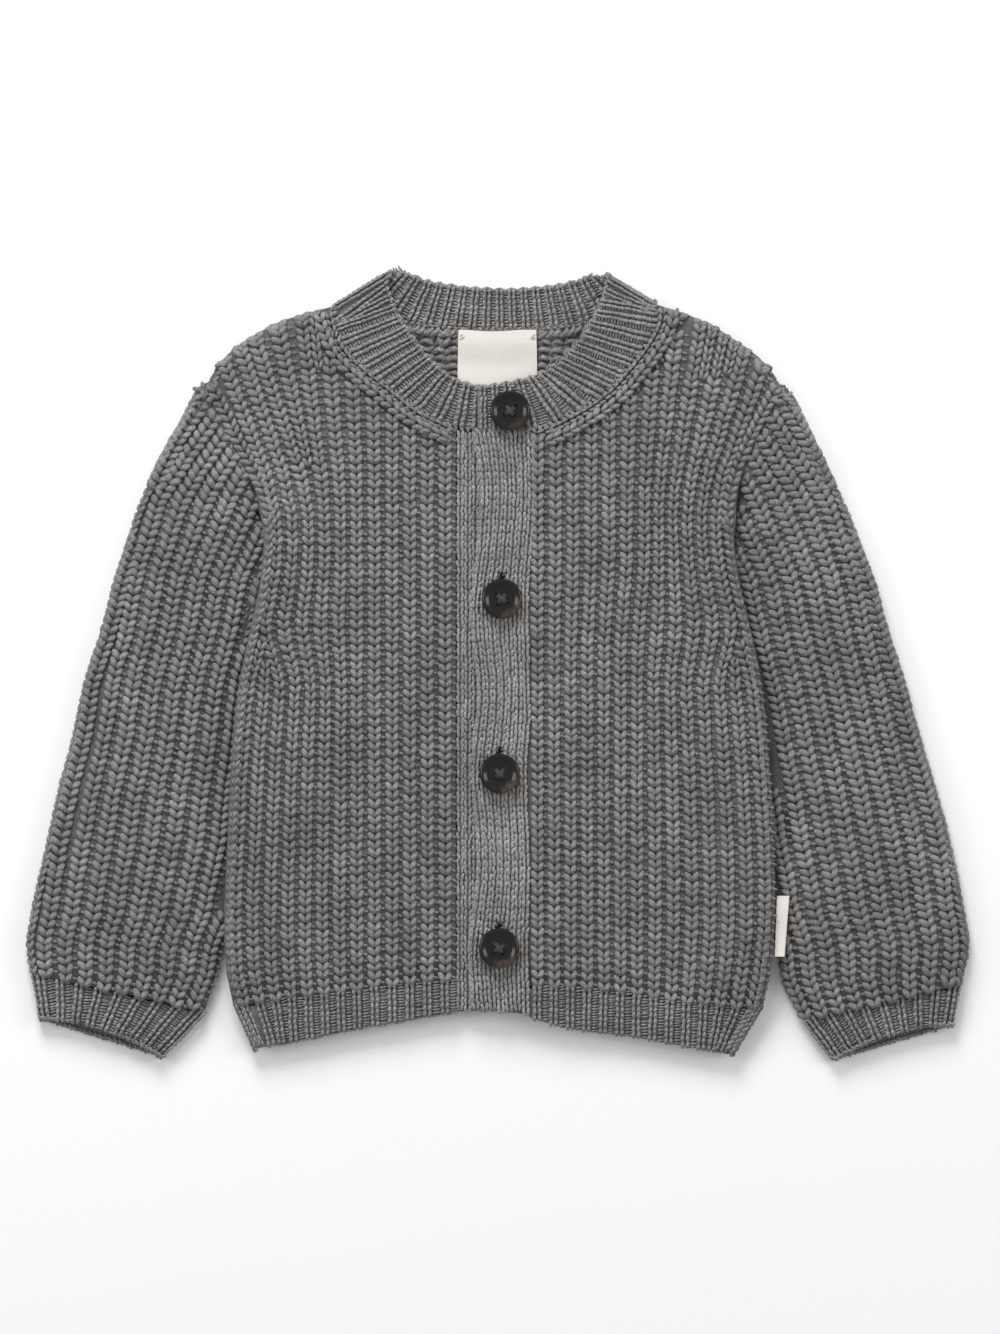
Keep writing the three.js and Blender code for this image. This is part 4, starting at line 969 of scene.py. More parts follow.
# %% The wales of one front
def front_wales(side):
    """Wales of one front, from the hem up: x, y and width as a share of a stitch's own."""
    y = np.arange(*WALE_ENDS, 2.0)
    edge = edge_x(spline(SIDE[side]), np.minimum(y, LEAN_Y - 4))
    last = INNER_WALES[side][-1]
    change = smooth((y - (MARK_Y - 18)) / 34)
    whole = np.ones(len(y), bool)
    last = last + SPREAD[side] * (len(INNER_WALES[side]) - 1) * smooth(y / 50)
    wales = [(x + SPREAD[side] * k * smooth(y / 50), whole) for k, x in enumerate(INNER_WALES[side])]
    low = [last + (edge - 4.6 - last) * j / MANY for j in range(1, MANY + 1)]
    high = [last + (edge - EDGE_ROOM[side] - last) * j / FEW for j in range(1, FEW + 1)]
    wales += [(low[j] + (high[j] - low[j]) * change, whole) for j in range(FEW)]
    wales = [(x + np.interp(np.interp(LEAN_Y, y, x), *FAN[side]) * climb(y), keep) for x, keep in wales]
    for (a, _), (b, _) in list(zip(wales, wales[1:])):
        if ((b - a > WIDEST_GAP) & (y < SHOULDER_Y)).any():
            wales.append(((a + b) / 2, b - a > WIDEST_GAP))
    edge_wale = low[-1] - 1.5 * smooth((y - (MARK_Y - 14)) / 20)
    outer = wales[len(INNER_WALES[side]) + FEW - 1][0]
    wales.append(((outer + edge_wale) / 2, y < MARK_Y - 3))
    wales.append((edge_wale, y < MARK_Y + 5))
    return [np.column_stack([OUTER_SIGN[side] * x, y, wide])[keep] for x, keep, wide in widened(wales)]


def widened(wales):
    """Each wale with its width, from the distance to its neighbours at every height."""
    x = np.array([np.where(keep, x, np.nan) for x, keep in wales])
    order = np.argsort(x, axis=0)
    gap = np.diff(np.take_along_axis(x, order, axis=0), axis=0)
    gap = np.where(np.isfinite(gap), gap, RIB_PITCH)
    room = (np.vstack([gap[:1], gap]) + np.vstack([gap, gap[-1:]])) / 2
    wide = np.empty_like(x)
    np.put_along_axis(wide, order, np.clip(room / RIB_PITCH, 0.72, 1.35), axis=0)
    return [(x, keep, w) for (x, keep), w in zip(wales, wide)]


def outline_of(side):
    """Closed outline of a front, its neck edge alone, and its side edge alone."""
    seam = NECK_RIGHT[2:] if side == "right" else NECK_LEFT[:5][::-1]
    neck = [(x, y) for x, y, *_ in seam]
    neck_line = spline([CENTRE_EDGE[side][-1], *neck, SHOULDER[side][-1]])
    side_line = spline(SIDE[side])
    outline = np.vstack([side_line, spline(SHOULDER[side]), neck_line[::-1],
                         spline(CENTRE_EDGE[side])[::-1], spline(HEM_SEAM[side])[::-1]])
    return outline, neck_line, side_line


WALES = {side: front_wales(side) for side in SIDE}
print("wales", {side: len(lines) for side, lines in WALES.items()})

# %% [markdown]
# ## Laying a wale
# A wale on the pattern becomes stitches in three steps: the stretch of it that shows is cut out, it
# is divided into even rows, and each row's stitch is put on the skin of its node and turned with
# it. Where a wale meets the shoulder it doesn't end: three stitches carry it round the fold.


# %% Laying a wale
def runs(line, keep, row, fine=0.6, phase=0.5):
    """Even places on each kept stretch of a line, the way along, the spacing, and other columns."""
    walk = at_length(line, np.arange(0, lengths(line)[-1], fine))
    if len(walk) < 3:
        return
    along = unit(np.gradient(walk[:, :2], axis=0))
    kept = np.concatenate([[False], keep(walk[:, :2]), [False]])
    starts, ends = np.flatnonzero(~kept[:-1] & kept[1:]), np.flatnonzero(kept[:-1] & ~kept[1:])
    for start, end in zip(starts, ends):
        count = round((end - start) * fine / row)
        if count:
            index = (start + (np.arange(count) + phase) * (end - start) / count).astype(int)
            yield walk[index, :2], along[index], (end - start) * fine / count, walk[index, 2:]


def lay_wale(knitting, node, line, kind, row, keep, from_above=True, wide=1.0, high=1.0, sink=0.0,
             margin=0.0):
    """Lays one wale of stitches along a line where keep(xy) is true."""
    for xy, along, spacing, more in runs(line, keep, row):
        place, travel, up, hit = on_skin(node, xy, along, from_above, margin=margin)
        across = wide * (more[hit, 0] if more.shape[1] else np.ones(len(place)))
        size = np.column_stack([across, np.full(len(place), spacing / RIB_ROW), np.full(len(place), high)])
        knitting.lay(kind, place - up * sink, travel, up, size)


wale = WALES["left"][0]
print("first wale of the left front:", sum(len(run[0]) for run in runs(wale, everywhere, RIB_ROW)), "rows")

# %% Over the shoulder
SHOULDER_TOP, SHOULDER_ROUND = 7.6, 2.6  # height of the shoulder's fold, and its radius


def lay_over(knitting, xy, along, wide):
    """Three stitches that carry a wale round the folded edge it runs over."""
    for angle in (30, 64, 100):
        turn = math.radians(angle)
        out = SHOULDER_ROUND * (math.sin(turn) - 1)
        drop = SHOULDER_ROUND * (1 - math.cos(turn))
        place = np.array([*(xy + along * out), SHOULDER_TOP - drop])
        travel = np.array([*(along * math.cos(turn)), -math.sin(turn)])
        up = np.array([*(along * math.sin(turn)), math.cos(turn)])
        knitting.lay("b_plain_rib", place[None], travel[None], up[None], (wide, 0.85, 0.9))


def crossing(line, outline, shoulder_line):
    """Where a line leaves an outline through the shoulder, and the way it goes, or nothing."""
    walk = at_length(line, np.arange(0, lengths(line)[-1], 0.5))
    out = np.flatnonzero(inside(walk[:-1], outline) & ~inside(walk[1:], outline))
    if len(out) == 0 or distance(walk[out[-1:]], shoulder_line)[0] > 1.2:
        return None
    k = out[-1]
    return walk[k, :2], unit(walk[k + 1, :2] - walk[k - 1, :2])


def lay_shoulder(knitting, side, outline, neck_line):
    """Carries the wales round the shoulder; one that meets the fold at a slant takes more of it."""
    shoulder_line = spline(SHOULDER[side])
    overs = [over for over in (crossing(line, outline, shoulder_line) for line in WALES[side])
             if over and distance(over[0][None], neck_line)[0] > 4]
    overs.sort(key=lambda over: abs(over[0][0]))
    gaps = np.linalg.norm(np.diff(np.array([xy for xy, _ in overs]), axis=0), axis=1)
    room = (np.append(gaps, gaps[-1]) + np.append(gaps[0], gaps)) / 2
    for (xy, along), gap in zip(overs, room):
        nearest = shoulder_line[np.argmin(((shoulder_line - xy) ** 2).sum(1))]
        square = unit(nearest * [0.75, 1] - [0, 30])
        lay_over(knitting, xy, unit(along + square), np.clip(gap / 6.7, 0.95, 1.8))


print("shoulders", {side: round(lengths(spline(points))[-1]) for side, points in SHOULDER.items()}, "mm")

# %% [markdown]
# ## The fronts
# A front is mostly its wales. Its edges need stitches of their own: along the side a wale rolls over
# the fold and then lies flat beside the armhole seam, and beside the neck a raised chain of shaping
# stitches follows the seam. Without them the edges would be cut off straight, as on printed cloth.

# %% The edges of a front
CHAIN_OFFSET = 5.8  # from the neck seam to the chain of shaping stitches


def lay_side_edge(knitting, side, side_line):
    """The wale along the side edge: rolled over the fold, then flat beside the armhole seam."""
    for xy, along, *_ in runs(side_line, lambda xy: xy[:, 1] < UNDERARM_Y, RIB_ROW):
        outward = to_right(along) * OUTER_SIGN[side]
        place, travel, _, hit = on_skin("front_" + side, xy - outward * 1.9, along)
        tilt = unit(level(outward[hit], 0.75))
        knitting.lay("b_plain_rib", place - [0, 0, 0.5], travel, tilt, (0.8, 1.0, 0.9))
    inward = -to_right(np.gradient(side_line, axis=0))
    beside_armhole = side_line + unit(inward) * OUTER_SIGN[side] * 2.7
    lay_wale(knitting, "front_" + side, beside_armhole, "b_plain_rib", RIB_ROW, wide=0.95, margin=2.0,
             keep=lambda xy: xy[:, 1] > UNDERARM_Y - 4)


def lay_neck_chain(knitting, side, outline, neck_line):
    """The chain beside the neck, and the small stitches in the seam."""
    chain = neck_line[: int(len(neck_line) * 0.97)]
    away = to_right(unit(np.gradient(chain, axis=0)))
    away *= np.sign((away * (chain - [0, 140])).sum(-1, keepdims=True))
    for offset, first, kind, row, wide, high, sink in (
            (CHAIN_OFFSET, 4, "a_rib", 3.9, 0.9, 1.2, -0.9), (1.9, 2, "d_band", 2.9, 1.1, 1.0, -0.2)):
        lay_wale(knitting, "front_" + side, (chain + away * offset)[first:], kind, row,
                 lambda xy: inside(xy, outline), wide=wide, high=high, sink=sink)


print("chain", CHAIN_OFFSET, "mm from the neck seam")


def knit_front(side):
    """All the stitches of one front."""
    outline, neck_line, side_line = outline_of(side)
    shoulder_line = spline(SHOULDER[side])
    knitting = Stitching()

    def within(xy):
        clear = 2.0 + (CHAIN_OFFSET + 0.6) * smooth((np.abs(xy[:, 0]) - 27) / 10)
        return (inside(xy, outline) & (distance(xy, neck_line) > clear)
                & (distance(xy, shoulder_line) > 2.2)
                & (distance(xy, side_line) > 2.8 + 1.6 * (xy[:, 1] > UNDERARM_Y)))

    for line in WALES[side]:
        lay_wale(knitting, "front_" + side, line, "a_rib", RIB_ROW, within)
    lay_shoulder(knitting, side, outline, neck_line)
    lay_side_edge(knitting, side, side_line)
    lay_neck_chain(knitting, side, outline, neck_line)
    return knitting.piece(f"front_{side}_stitches", RIB_WOOL)


for side in SIDE:
    knit_front(side)

# %% [markdown]
# ## The back
# The back lies under everything, so it is knitted plainly on its underside, where the wales of the
# fronts carry on over the sides. Inside the neck its wrong side shows: rows of low purl bumps, and
# the thick roll of the seam that joins the neckband. It could be left bare where nothing shows, but
# then it would be missing from every other side.

# %% Knit the underside of the back
MIDDLE_WALES = (-14.3, -7.1, 0.1, 7.3, 13)  # under the bands, where the fronts have none
back_neck = spline([SHOULDER["right"][-1], *[(x, y) for x, y, *_ in NECK_BACK], SHOULDER["left"][-1]])
back_outline = np.vstack([spline(SIDE["right"]), spline(SHOULDER["right"]), back_neck,
                          spline(SHOULDER["left"])[::-1], spline(SIDE["left"])[::-1],
                          spline(HEM_SEAM["left"]), spline(HEM_SEAM["right"])[::-1]])
middle_wales = [np.array([(x, -150), (x, 148)], float) for x in MIDDLE_WALES]
knitting = Stitching()
for line in WALES["right"] + WALES["left"] + middle_wales:
    lay_wale(knitting, "back", line, "b_plain_rib", 3.6, from_above=False, high=0.8, sink=1.6,
             keep=lambda xy: inside(xy, back_outline) & (distance(xy, back_outline) > 1.4))
for side in SIDE:
    for xy, along, *_ in runs(spline(SIDE[side]), everywhere, 3.8):
        outward = to_right(along) * OUTER_SIGN[side]
        place, travel, _, hit = on_skin("back", xy - outward * 1.2, along)
        tilt = unit(level(outward[hit], -0.25))
        knitting.lay("b_plain_rib", place - [0, 0, 1.7], travel, tilt, (0.75, 1.0, 0.8))
print("underside", sum(len(row[0]) for row in knitting.rows), "stitches")

# %% Knit the inside of the back's neck
LABEL_HALF = 17.5  # half the room that the neck label takes
purl = np.array([(x + 0.6 * (row % 2), 84 + 3.4 * row)
                 for row in range(18) for x in np.arange(-61, 62, 6.1)])
purl = purl[inside(purl, back_outline) & (distance(purl, back_neck) > 3)]
purl = purl[(np.abs(purl[:, 0]) > LABEL_HALF) | (purl[:, 1] < 100)]
place, travel, up, _ = on_skin("back", purl, np.tile([0.0, 1.0], (len(purl), 1)))
knitting.lay("e_purl", place, travel, up, (1.1, 1.35, 0.9), 2)
roll, along = stepped(spline([(x, y - 2.8) for x, y, *_ in NECK_BACK]), 3.0)
beside_label = np.abs(roll[:, 0]) > LABEL_HALF - 1
place, travel, up, _ = on_skin("back", roll[beside_label], along[beside_label])
knitting.lay("e_purl", place + [0, 0, 0.9], np.cross(travel, up) + travel * 0.6, up, (0.95, 1.1, 1.2), 2)
knitting.piece("back_stitches", RIB_WOOL)

# %% [markdown]
# ## The sleeves
# A sleeve's wales keep beside its outer fold. Near the top they run out into the armhole seam, and
# towards the wrist they draw together into the cuff. They could run straight down the arm, but the
# sleeve is wider at the wrist than at the top, so a small table says how far apart they stand at
# each height. More wales go round the fold itself, because there the cloth is seen edge on.

# %% Where the sleeve wales run
HIDDEN_GAP, SHOWN_GAP = -1.2, 3.7  # a wale may run this far past the fold, but is laid this far inside
SLEEVE_WALES = np.array([  # height, distance of the first wale from the fold, pitch
    (-150, 4.4, 7.4), (-130, 6.6, 8.4), (-105, 8.0, 9.2), (-73.5, 5.6, 9.5), (-19, 4.4, 8.7),
    (36, 0.4, 8.75), (69, -2.4, 9.9), (84.5, 1.6, 9.3), (94.5, 3.3, 9.1), (113, 6, 9)])


def sleeve_wales(side):
    """Wales of one sleeve from the cuff up, counted inwards from the fold."""
    outer = spline(SLEEVE_OUTER[side])
    y = np.arange(-152, 117, 2.0)
    fold = edge_x(outer, y)
    fold -= 0.06 * np.clip(SLEEVE_OUTER[side][-1][1] - y, 0, None)
    start, pitch = (np.interp(y, SLEEVE_WALES[:, 0], SLEEVE_WALES[:, k]) for k in (1, 2))
    for k in range(9):
        gap = start + k * pitch
        x = OUTER_SIGN[side] * (fold - np.maximum(gap, SHOWN_GAP))
        line = np.column_stack([x, y, pitch / RIB_PITCH])
        shown = gap > HIDDEN_GAP
        for part in np.split(np.arange(len(y)), np.flatnonzero(np.diff(shown)) + 1):
            if shown[part[0]] and len(part) > 3:
                yield line[part]


print("sleeve wales", {side: len(list(sleeve_wales(side))) for side in SIDE})

# %% The edges of a sleeve
SLEEVE_ROW = 3.5
SEAM_ROWS_FROM = 8  # above this height the sleeve runs into the body's side
FOLD_ROUND = 3.4  # radius of a sleeve's outer fold


def lay_seam_rows(knitting, side, side_line):
    """Two sunk rows beside the body, where the sleeve runs into its seam."""
    xy, along = stepped(above(side_line, SEAM_ROWS_FROM), SLEEVE_ROW)
    for shift in (0.2, 2.4):
        beside = xy + [OUTER_SIGN[side] * shift, 0]
        tops = heights("sleeve_" + side, beside, margin=3.0)
        hit = np.isfinite(tops)
        place, travel = level(beside, tops - 1.2)[hit], level(along)[hit]
        knitting.lay("b_plain_rib", place, travel, np.tile([0, 0, 1], (len(place), 1)), (0.9, 1.0, 0.9))


def lay_fold(knitting, side, outer):
    """Two wales round the outer fold, and on to the shoulder tip."""
    fold_line = np.vstack([outer[::-1], even(spline(SHOULDER[side])[:20], 8)])
    for xy, along, spacing, _ in runs(fold_line, everywhere, SLEEVE_ROW):
        outward = to_right(along) * OUTER_SIGN[side]
        for angle, wide in ((34, 0.95), (-40, 0.8)):
            turn = math.radians(angle)
            inset = FOLD_ROUND * (1 - math.cos(turn))
            place = level(xy - outward * inset, FOLD_ROUND * (1 + math.sin(turn)))
            up = level(outward * math.cos(turn), math.sin(turn))
            knitting.lay("b_plain_rib", place - up * 0.7, level(along), up, (wide, spacing / RIB_ROW, 0.8))


print("fold", round(lengths(spline(SLEEVE_OUTER["left"]))[-1]), "mm round", FOLD_ROUND, "mm")

# %% Knit the sleeves
SLEEVE_FREE_Y = -119  # below this height the sleeve's inner edge has left the body's side
SLEEVE_END = {"right": (-121.6, -145.4), "left": (127.6, -149.4)}
PLAIN_STRIP = (2.6, 6.4)  # distances from the fold between which a wale has no bars


def knit_sleeve(side):
    """All the stitches of one sleeve."""
    node = "sleeve_" + side
    outer, side_line = spline(SLEEVE_OUTER[side]), spline(SIDE[side])
    outline = np.vstack([outer, [SLEEVE_END[side]], above(side_line, SLEEVE_FREE_Y)])
    knitting = Stitching()

    def shown(xy, nearest, farthest):
        away = distance(xy, outer)
        return (inside(xy, outline) & (away > nearest) & (away <= farthest)
                & (distance(xy, ARMHOLE[side]) > 0.8) & ~np.isfinite(heights("front_" + side, xy)))

    for line in sleeve_wales(side):
        lay_wale(knitting, node, line, "a_rib", SLEEVE_ROW, lambda xy: shown(xy, PLAIN_STRIP[1], math.inf),
                 high=1.1, margin=3.0)
        lay_wale(knitting, node, line, "b_plain_rib", SLEEVE_ROW, lambda xy: shown(xy, *PLAIN_STRIP),
                 high=1.1, margin=3.0)
        lay_wale(knitting, node, line, "b_plain_rib", 3.7, from_above=False, high=0.8, sink=1.5,
                 keep=lambda xy: inside(xy, outline) & (distance(xy, outer) > FOLD_ROUND))
    lay_seam_rows(knitting, side, side_line)
    lay_fold(knitting, side, outer)
    return knitting.piece(node + "_stitches", RIB_WOOL)


for side in SIDE:
    knit_sleeve(side)

# %% [markdown]
# ## Fine rib
# Hems and cuffs are knitted in fine rib, which draws in and holds its shape. A narrow raised rib is
# two thin cords of upright stitches, with slanted bars between it and the next one, and a bound-off
# edge closes it. One stitch model could hold a whole rib, but then it couldn't follow a bend, so it
# is laid row by row, as the chunky rib is.


# %% Fine rib
def lay_ribs(knitting, node, lines, from_above=True, wide=1.0, sink=0.0, plain=()):
    """Lays fine rib along lines that run from the free edge up to the seam; plain ones have no bars."""
    for index, line in enumerate(lines):
        kind = "g_plain_fine" if index in plain or not from_above else "c_fine"
        for xy, along, spacing, _ in runs(line, everywhere, FINE_ROW, 0.25):
            place, travel, up, _ = on_skin(node, xy, along, from_above, reach=1.2, margin=2.0)
            knitting.lay(kind, place - up * sink, travel, up, (wide, spacing / FINE_ROW, 1.0), 0.8)


def lay_edge(knitting, line, z, tilt, step=2.2):
    """A bound-off edge at the bottom: small cords along it, turned downwards by a tilt."""
    xy, along = stepped(line, step)
    outward = to_right(along)
    outward *= -np.sign(outward[:, 1:])
    z = np.interp(lengths(xy), *(z if isinstance(z, tuple) else ((0, 1), (z, z))))
    up = unit(level(outward * tilt, 1.0))
    knitting.lay("f_cord", level(xy, z), level(along), up, (0.9, 0.9, 0.9))


def edge_height(curve, x):
    """Height of a hem's curve at distances from the middle."""
    order = np.argsort(np.abs(curve[:, 0]))
    return np.interp(x, np.abs(curve[order, 0]), curve[order, 1])


print("hem depth at the middle", round(edge_height(spline(HEM_SEAM["left"]), 20)
                                       - edge_height(spline(HEM_EDGE["left"]), 20), 1), "mm")

# %% [markdown]
# ## Hems
# Each wale of the chunky rib runs on into the hem as one rib. The hem is upright in the middle and
# drawn in towards its rounded corner, where the side edge goes round it. The back hem is knitted
# plainly on its underside, and its edge shows a little below the front hems.


# %% Where the hem ribs run
def hem_ribs(side, lift=0.0):
    """Rib lines of one half hem: upright, but drawn in towards the rounded corner."""
    seam, edge = spline(HEM_SEAM[side]), spline(HEM_EDGE[side])
    start = [np.interp(-140, line[:, 1], np.abs(line[:, 0])) for line in WALES[side] if line[0, 1] < -140]
    corner, centre = abs(HEM_SEAM[side][0][0]), abs(HEM_SEAM[side][-1][0])
    drawn_in = corner - abs(HEM_EDGE[side][0][0])
    lines = []
    for x in sorted(start):
        share = (x - centre) / (corner - centre)
        low = x - 1.2 * share - (drawn_in - 1.2) * smooth((share - 0.72) / 0.28)
        ends = [(low, edge_height(edge, low) + lift), (x, edge_height(seam, x) + 0.9)]
        lines.append(np.linspace(*np.array(ends), 12) * [OUTER_SIGN[side], 1])
    return lines


print("hem ribs", {side: len(hem_ribs(side)) for side in SIDE})


# %% Knit the hems
def knit_front_hem(side):
    """Ribs, bound-off edge and rounded corner of one front hem."""
    node, sign = f"front_{side}_hem", OUTER_SIGN[side]
    edge = spline(HEM_EDGE[side])
    knitting = Stitching()
    ribs = hem_ribs(side)
    corner = np.linspace(HEM_EDGE[side][0], HEM_SEAM[side][0], 12)
    ribs.append(corner - [sign * 2.2, -1.0])
    lay_ribs(knitting, node, ribs, plain=(len(ribs) - 1, len(ribs) - 2))
    rise = np.nan_to_num(heights(node, edge + [0, 0.7]), nan=6.5) - 1.1
    lay_edge(knitting, edge + [0, 0.5], (lengths(edge), rise), 1.1)
    corner = even(corner, 10) - [sign * 0.9, 0]
    place, travel, up, _ = on_skin(node, corner, np.tile([-0.45 * sign, -1.0], (10, 1)), margin=2)
    tilt = unit(up + [[sign * 1.6, 0, 0]])
    knitting.lay("g_plain_fine", place - [0, 0, 1.0], travel, tilt, (0.9, 0.85, 0.9))
    return knitting.piece(node + "_stitches", FINE_WOOL_PAINTED_LIGHT)


for side in SIDE:
    knit_front_hem(side)

knitting = Stitching()
for side in SIDE:
    lay_ribs(knitting, "back_hem", hem_ribs(side, 1.6), from_above=False, sink=1.0)
    lay_edge(knitting, spline(HEM_EDGE[side]) + [0, 1.4], 1.4, 3.0)
knitting.piece("back_hem_stitches", FINE_WOOL_PAINTED_LIGHT)

# %% [markdown]
# ## Cuffs
# A cuff is a short flattened tube of fine rib. Its upper layer's opening bows towards the sleeve, so
# a sliver of the lower layer's edge shows under it. Both layers are knitted from the same ribs, and
# a column of plain stitches goes round each of the two folds.

# %% Knit the cuffs
CUFF_RIBS = 9
CUFF_BOW = 4  # how far the upper layer's opening bows
CUFF_FOLD_Z = 3.3  # height of the stitches round the folds


def knit_cuff(side):
    """Both layers and both folds of one cuff."""
    node, sign = "cuff_" + side, OUTER_SIGN[side]
    outer, inner = spline(CUFF_OUTER[side]), spline(CUFF_INNER[side])
    seam = np.linspace(outer[0], inner[0], 60)
    opening = np.linspace(outer[-1], inner[-1], 60)
    bow = np.column_stack([np.zeros(60), CUFF_BOW * np.sin(np.linspace(0, math.pi, 60))])
    shares = (np.arange(CUFF_RIBS) + 0.5) / CUFF_RIBS
    plain = (CUFF_RIBS - 1 if sign < 0 else 0,)
    knitting = Stitching()
    for bottom, from_above, sink in ((opening + bow, True, 0.0), (opening, False, 1.0)):
        ends = [at_length(curve, shares * lengths(curve)[-1]) for curve in (bottom, seam)]
        ribs = [np.linspace(a, b + unit(b - a) * 1.3, 12) for a, b in zip(*ends)]
        lay_ribs(knitting, node, ribs, from_above, 1.05, sink, plain)
    lay_edge(knitting, opening + bow + [0, 0.4], 5.4, 0.8)
    lay_edge(knitting, opening + [0, 0.4], 1.5, 1.6)
    for edge_line, out in ((outer, sign), (inner, -sign)):
        xy, along = stepped(edge_line, FINE_ROW)
        outward = to_right(along)
        outward *= np.sign(outward[:, :1]) * out
        knitting.lay("g_plain_fine", level(xy - outward * 0.6, CUFF_FOLD_Z), level(-along), level(outward),
                     (1.1, 1.0, 1.0))
    return knitting.piece(node + "_stitches", FINE_WOOL_PAINTED_LIGHT)


for side in SIDE:
    knit_cuff(side)

# %% [markdown]
# ## The neckband
# The neckband is one strip of fine rib that folds over at each shoulder. It could be knitted on its
# skin, as the hems are, but at the folds the strip stands on edge and a ray from above misses it. So
# its middle layer is drawn from stations: where its sewn edge lies, where its free edge lies, and
# how high it is there. Half a turn of stations carries it round each fold.

# %% Round the shoulder folds
FRONT_Z, BACK_Z = 5.7, 1.5  # height of the strip's middle layer at the front and at the back
FOLD_DRIFT = 1.4  # how far the strip slides along its fold as it turns


def fold_stations(fold):
    """Stations of half a turn round one shoulder fold, from the front to the back."""
    seam_x, seam_y, free_x, free_y = fold
    along = unit(np.array([free_x - seam_x, free_y - seam_y]))
    out = np.array([-along[1], along[0]])
    out = out if out[1] > 0 else -out
    rows = []
    for angle in (8, 40, 70, 90, 110, 140, 172):
        turn = math.radians(angle)
        move = (out * (FRONT_Z - BACK_Z) / 2 * (math.sin(turn) - 1)
                + along * FOLD_DRIFT * (angle - 90) / 90)
        rows.append((seam_x + move[0], seam_y + move[1], free_x + move[0], free_y + move[1],
                     (FRONT_Z + BACK_Z) / 2 + (FRONT_Z - BACK_Z) / 2 * math.cos(turn)))
    return rows


stations = np.array([*NECK_RIGHT, *fold_stations(NECK_FOLD["right"]), *NECK_BACK,
                     *fold_stations(NECK_FOLD["left"])[::-1], *NECK_LEFT])
seam_walk, free_walk = spline(stations[:, [0, 1, 4]]), spline(stations[:, [2, 3, 4]])
across_walk = unit(free_walk - seam_walk)
face_walk = unit(np.cross(unit(np.gradient((seam_walk + free_walk) / 2, axis=0)), across_walk))
free_length = lengths(free_walk)
folds = [free_length[np.argmax((free_walk[:, 0] * sign) * (free_walk[:, 1] > 162.5))] for sign in (-1, 1)]
print("neckband", round(free_length[-1]), "mm along its free edge, folds at", np.round(folds))

# %% Where a neckband rib stands
NECK_PITCH = 5.0  # from rib to rib along the free edge
SLANT = 11  # how far a rib's sewn end lies ahead of its station, towards the shoulder


def at_free(walk, where):
    """A walk of the neckband at a distance along its free edge."""
    return np.stack([np.interp(where, free_length, walk[:, k]) for k in range(3)], -1)


def slant(where):
    """How far ahead a rib's sewn end lies: towards the nearer shoulder fold, and not at the folds."""
    right, left = folds
    near_right = smooth((right - where) / 16) * smooth((where - 8) / 26)
    near_left = smooth((where - left) / 16) * smooth((free_length[-1] - 8 - where) / 26)
    return SLANT * (near_right - near_left)


rib_count = round(free_length[-1] / NECK_PITCH)
rib_step = free_length[-1] / rib_count
print("neckband ribs", rib_count, "every", round(rib_step, 2), "mm")

# %% [markdown]
# ## Knitting the neckband
# The ribs stand square to the free edge, so they fan out round the neck, and each ends there in a
# small arch. They are laid on both faces, because the back of the strip shows its inside. At the
# folds only plain stitches are laid, and they stop a little short, since bars and arches would
# stand out from a turn this tight like hairs.

# %% Knit the neckband's ribs
PLAIN_NEAR_FOLD, NO_ARCH_NEAR_FOLD = 9, 15  # distances from a fold along the free edge


def lay_neck_rib(knitting, where):
    """One rib of the neckband on every face of it that can be seen."""
    low, high = at_free(seam_walk, where + slant(where)), at_free(free_walk, where)
    pitch = np.linalg.norm(at_free(seam_walk, where + rib_step + slant(where + rib_step)) - low)
    face = unit(at_free(face_walk, where + slant(where) / 2))
    rows = round(np.linalg.norm(high - low) / FINE_ROW)
    to_fold = min(abs(where - fold) for fold in folds)
    kind, reach = ("g_plain_fine", 0.94) if to_fold < PLAIN_NEAR_FOLD else ("c_fine", 1)
    share = (np.arange(rows) + 0.5)[:, None] / rows * reach
    centre = low + (high - low) * share
    wide = 0.88 * np.clip(rib_step + (pitch - rib_step) * (1 - share[:, 0]), 4.6, 7.6) / NECK_PITCH
    size = np.column_stack([wide, np.full(rows, 1.02), np.ones(rows)])
    for sign in (1, -1):
        underside = sign * face[2] < -0.35
        if underside and low[2] > 4.5:
            continue
        knitting.lay(kind, centre + face * sign * (0.5 if underside else 1.0),
                     np.tile(unit(high - low), (rows, 1)), np.tile(face * sign, (rows, 1)), size, 0.8)
        if to_fold > NO_ARCH_NEAR_FOLD:
            tip = high - unit(high - low) * 0.7 + face * sign * 1.05
            knitting.lay("h_arch", tip[None], unit(high - low)[None], face[None] * sign, (0.95, 1.0, 1.0))


knitting = Stitching()
for where in (np.arange(rib_count) + 0.5) * rib_step:
    lay_neck_rib(knitting, where)
print("ribs laid", sum(len(row[0]) for row in knitting.rows), "stitches")

# %% Close the neckband's edges
for where in np.arange(1.2, free_length[-1], 2.5):
    high, toward = at_free(free_walk, where), unit(at_free(free_walk, where) - at_free(seam_walk, where))
    ahead = unit(at_free(free_walk, where + 0.5) - at_free(free_walk, where - 0.5))
    knitting.lay("f_cord", (high - toward * 0.1)[None], ahead[None], toward[None], (1.1, 0.95, 1.0))
for where in np.arange(1.5, lengths(seam_walk)[-1], 2.6):
    spot, ahead = at_length(seam_walk, where), at_length(seam_walk, where + 0.6)
    near = np.argmin(((seam_walk - spot) ** 2).sum(1))
    face = face_walk[near] * (1 if face_walk[near][2] >= 0 else -1)
    knitting.lay("f_cord", (spot + face * 0.9 - across_walk[near] * 0.3)[None],
                 unit(unit(ahead - spot) + across_walk[near] * 0.5)[None], face[None], (1.0, 0.95, 1.1))
knitting.piece("neckband_stitches", FINE_WOOL_PAINTED_LIGHT)

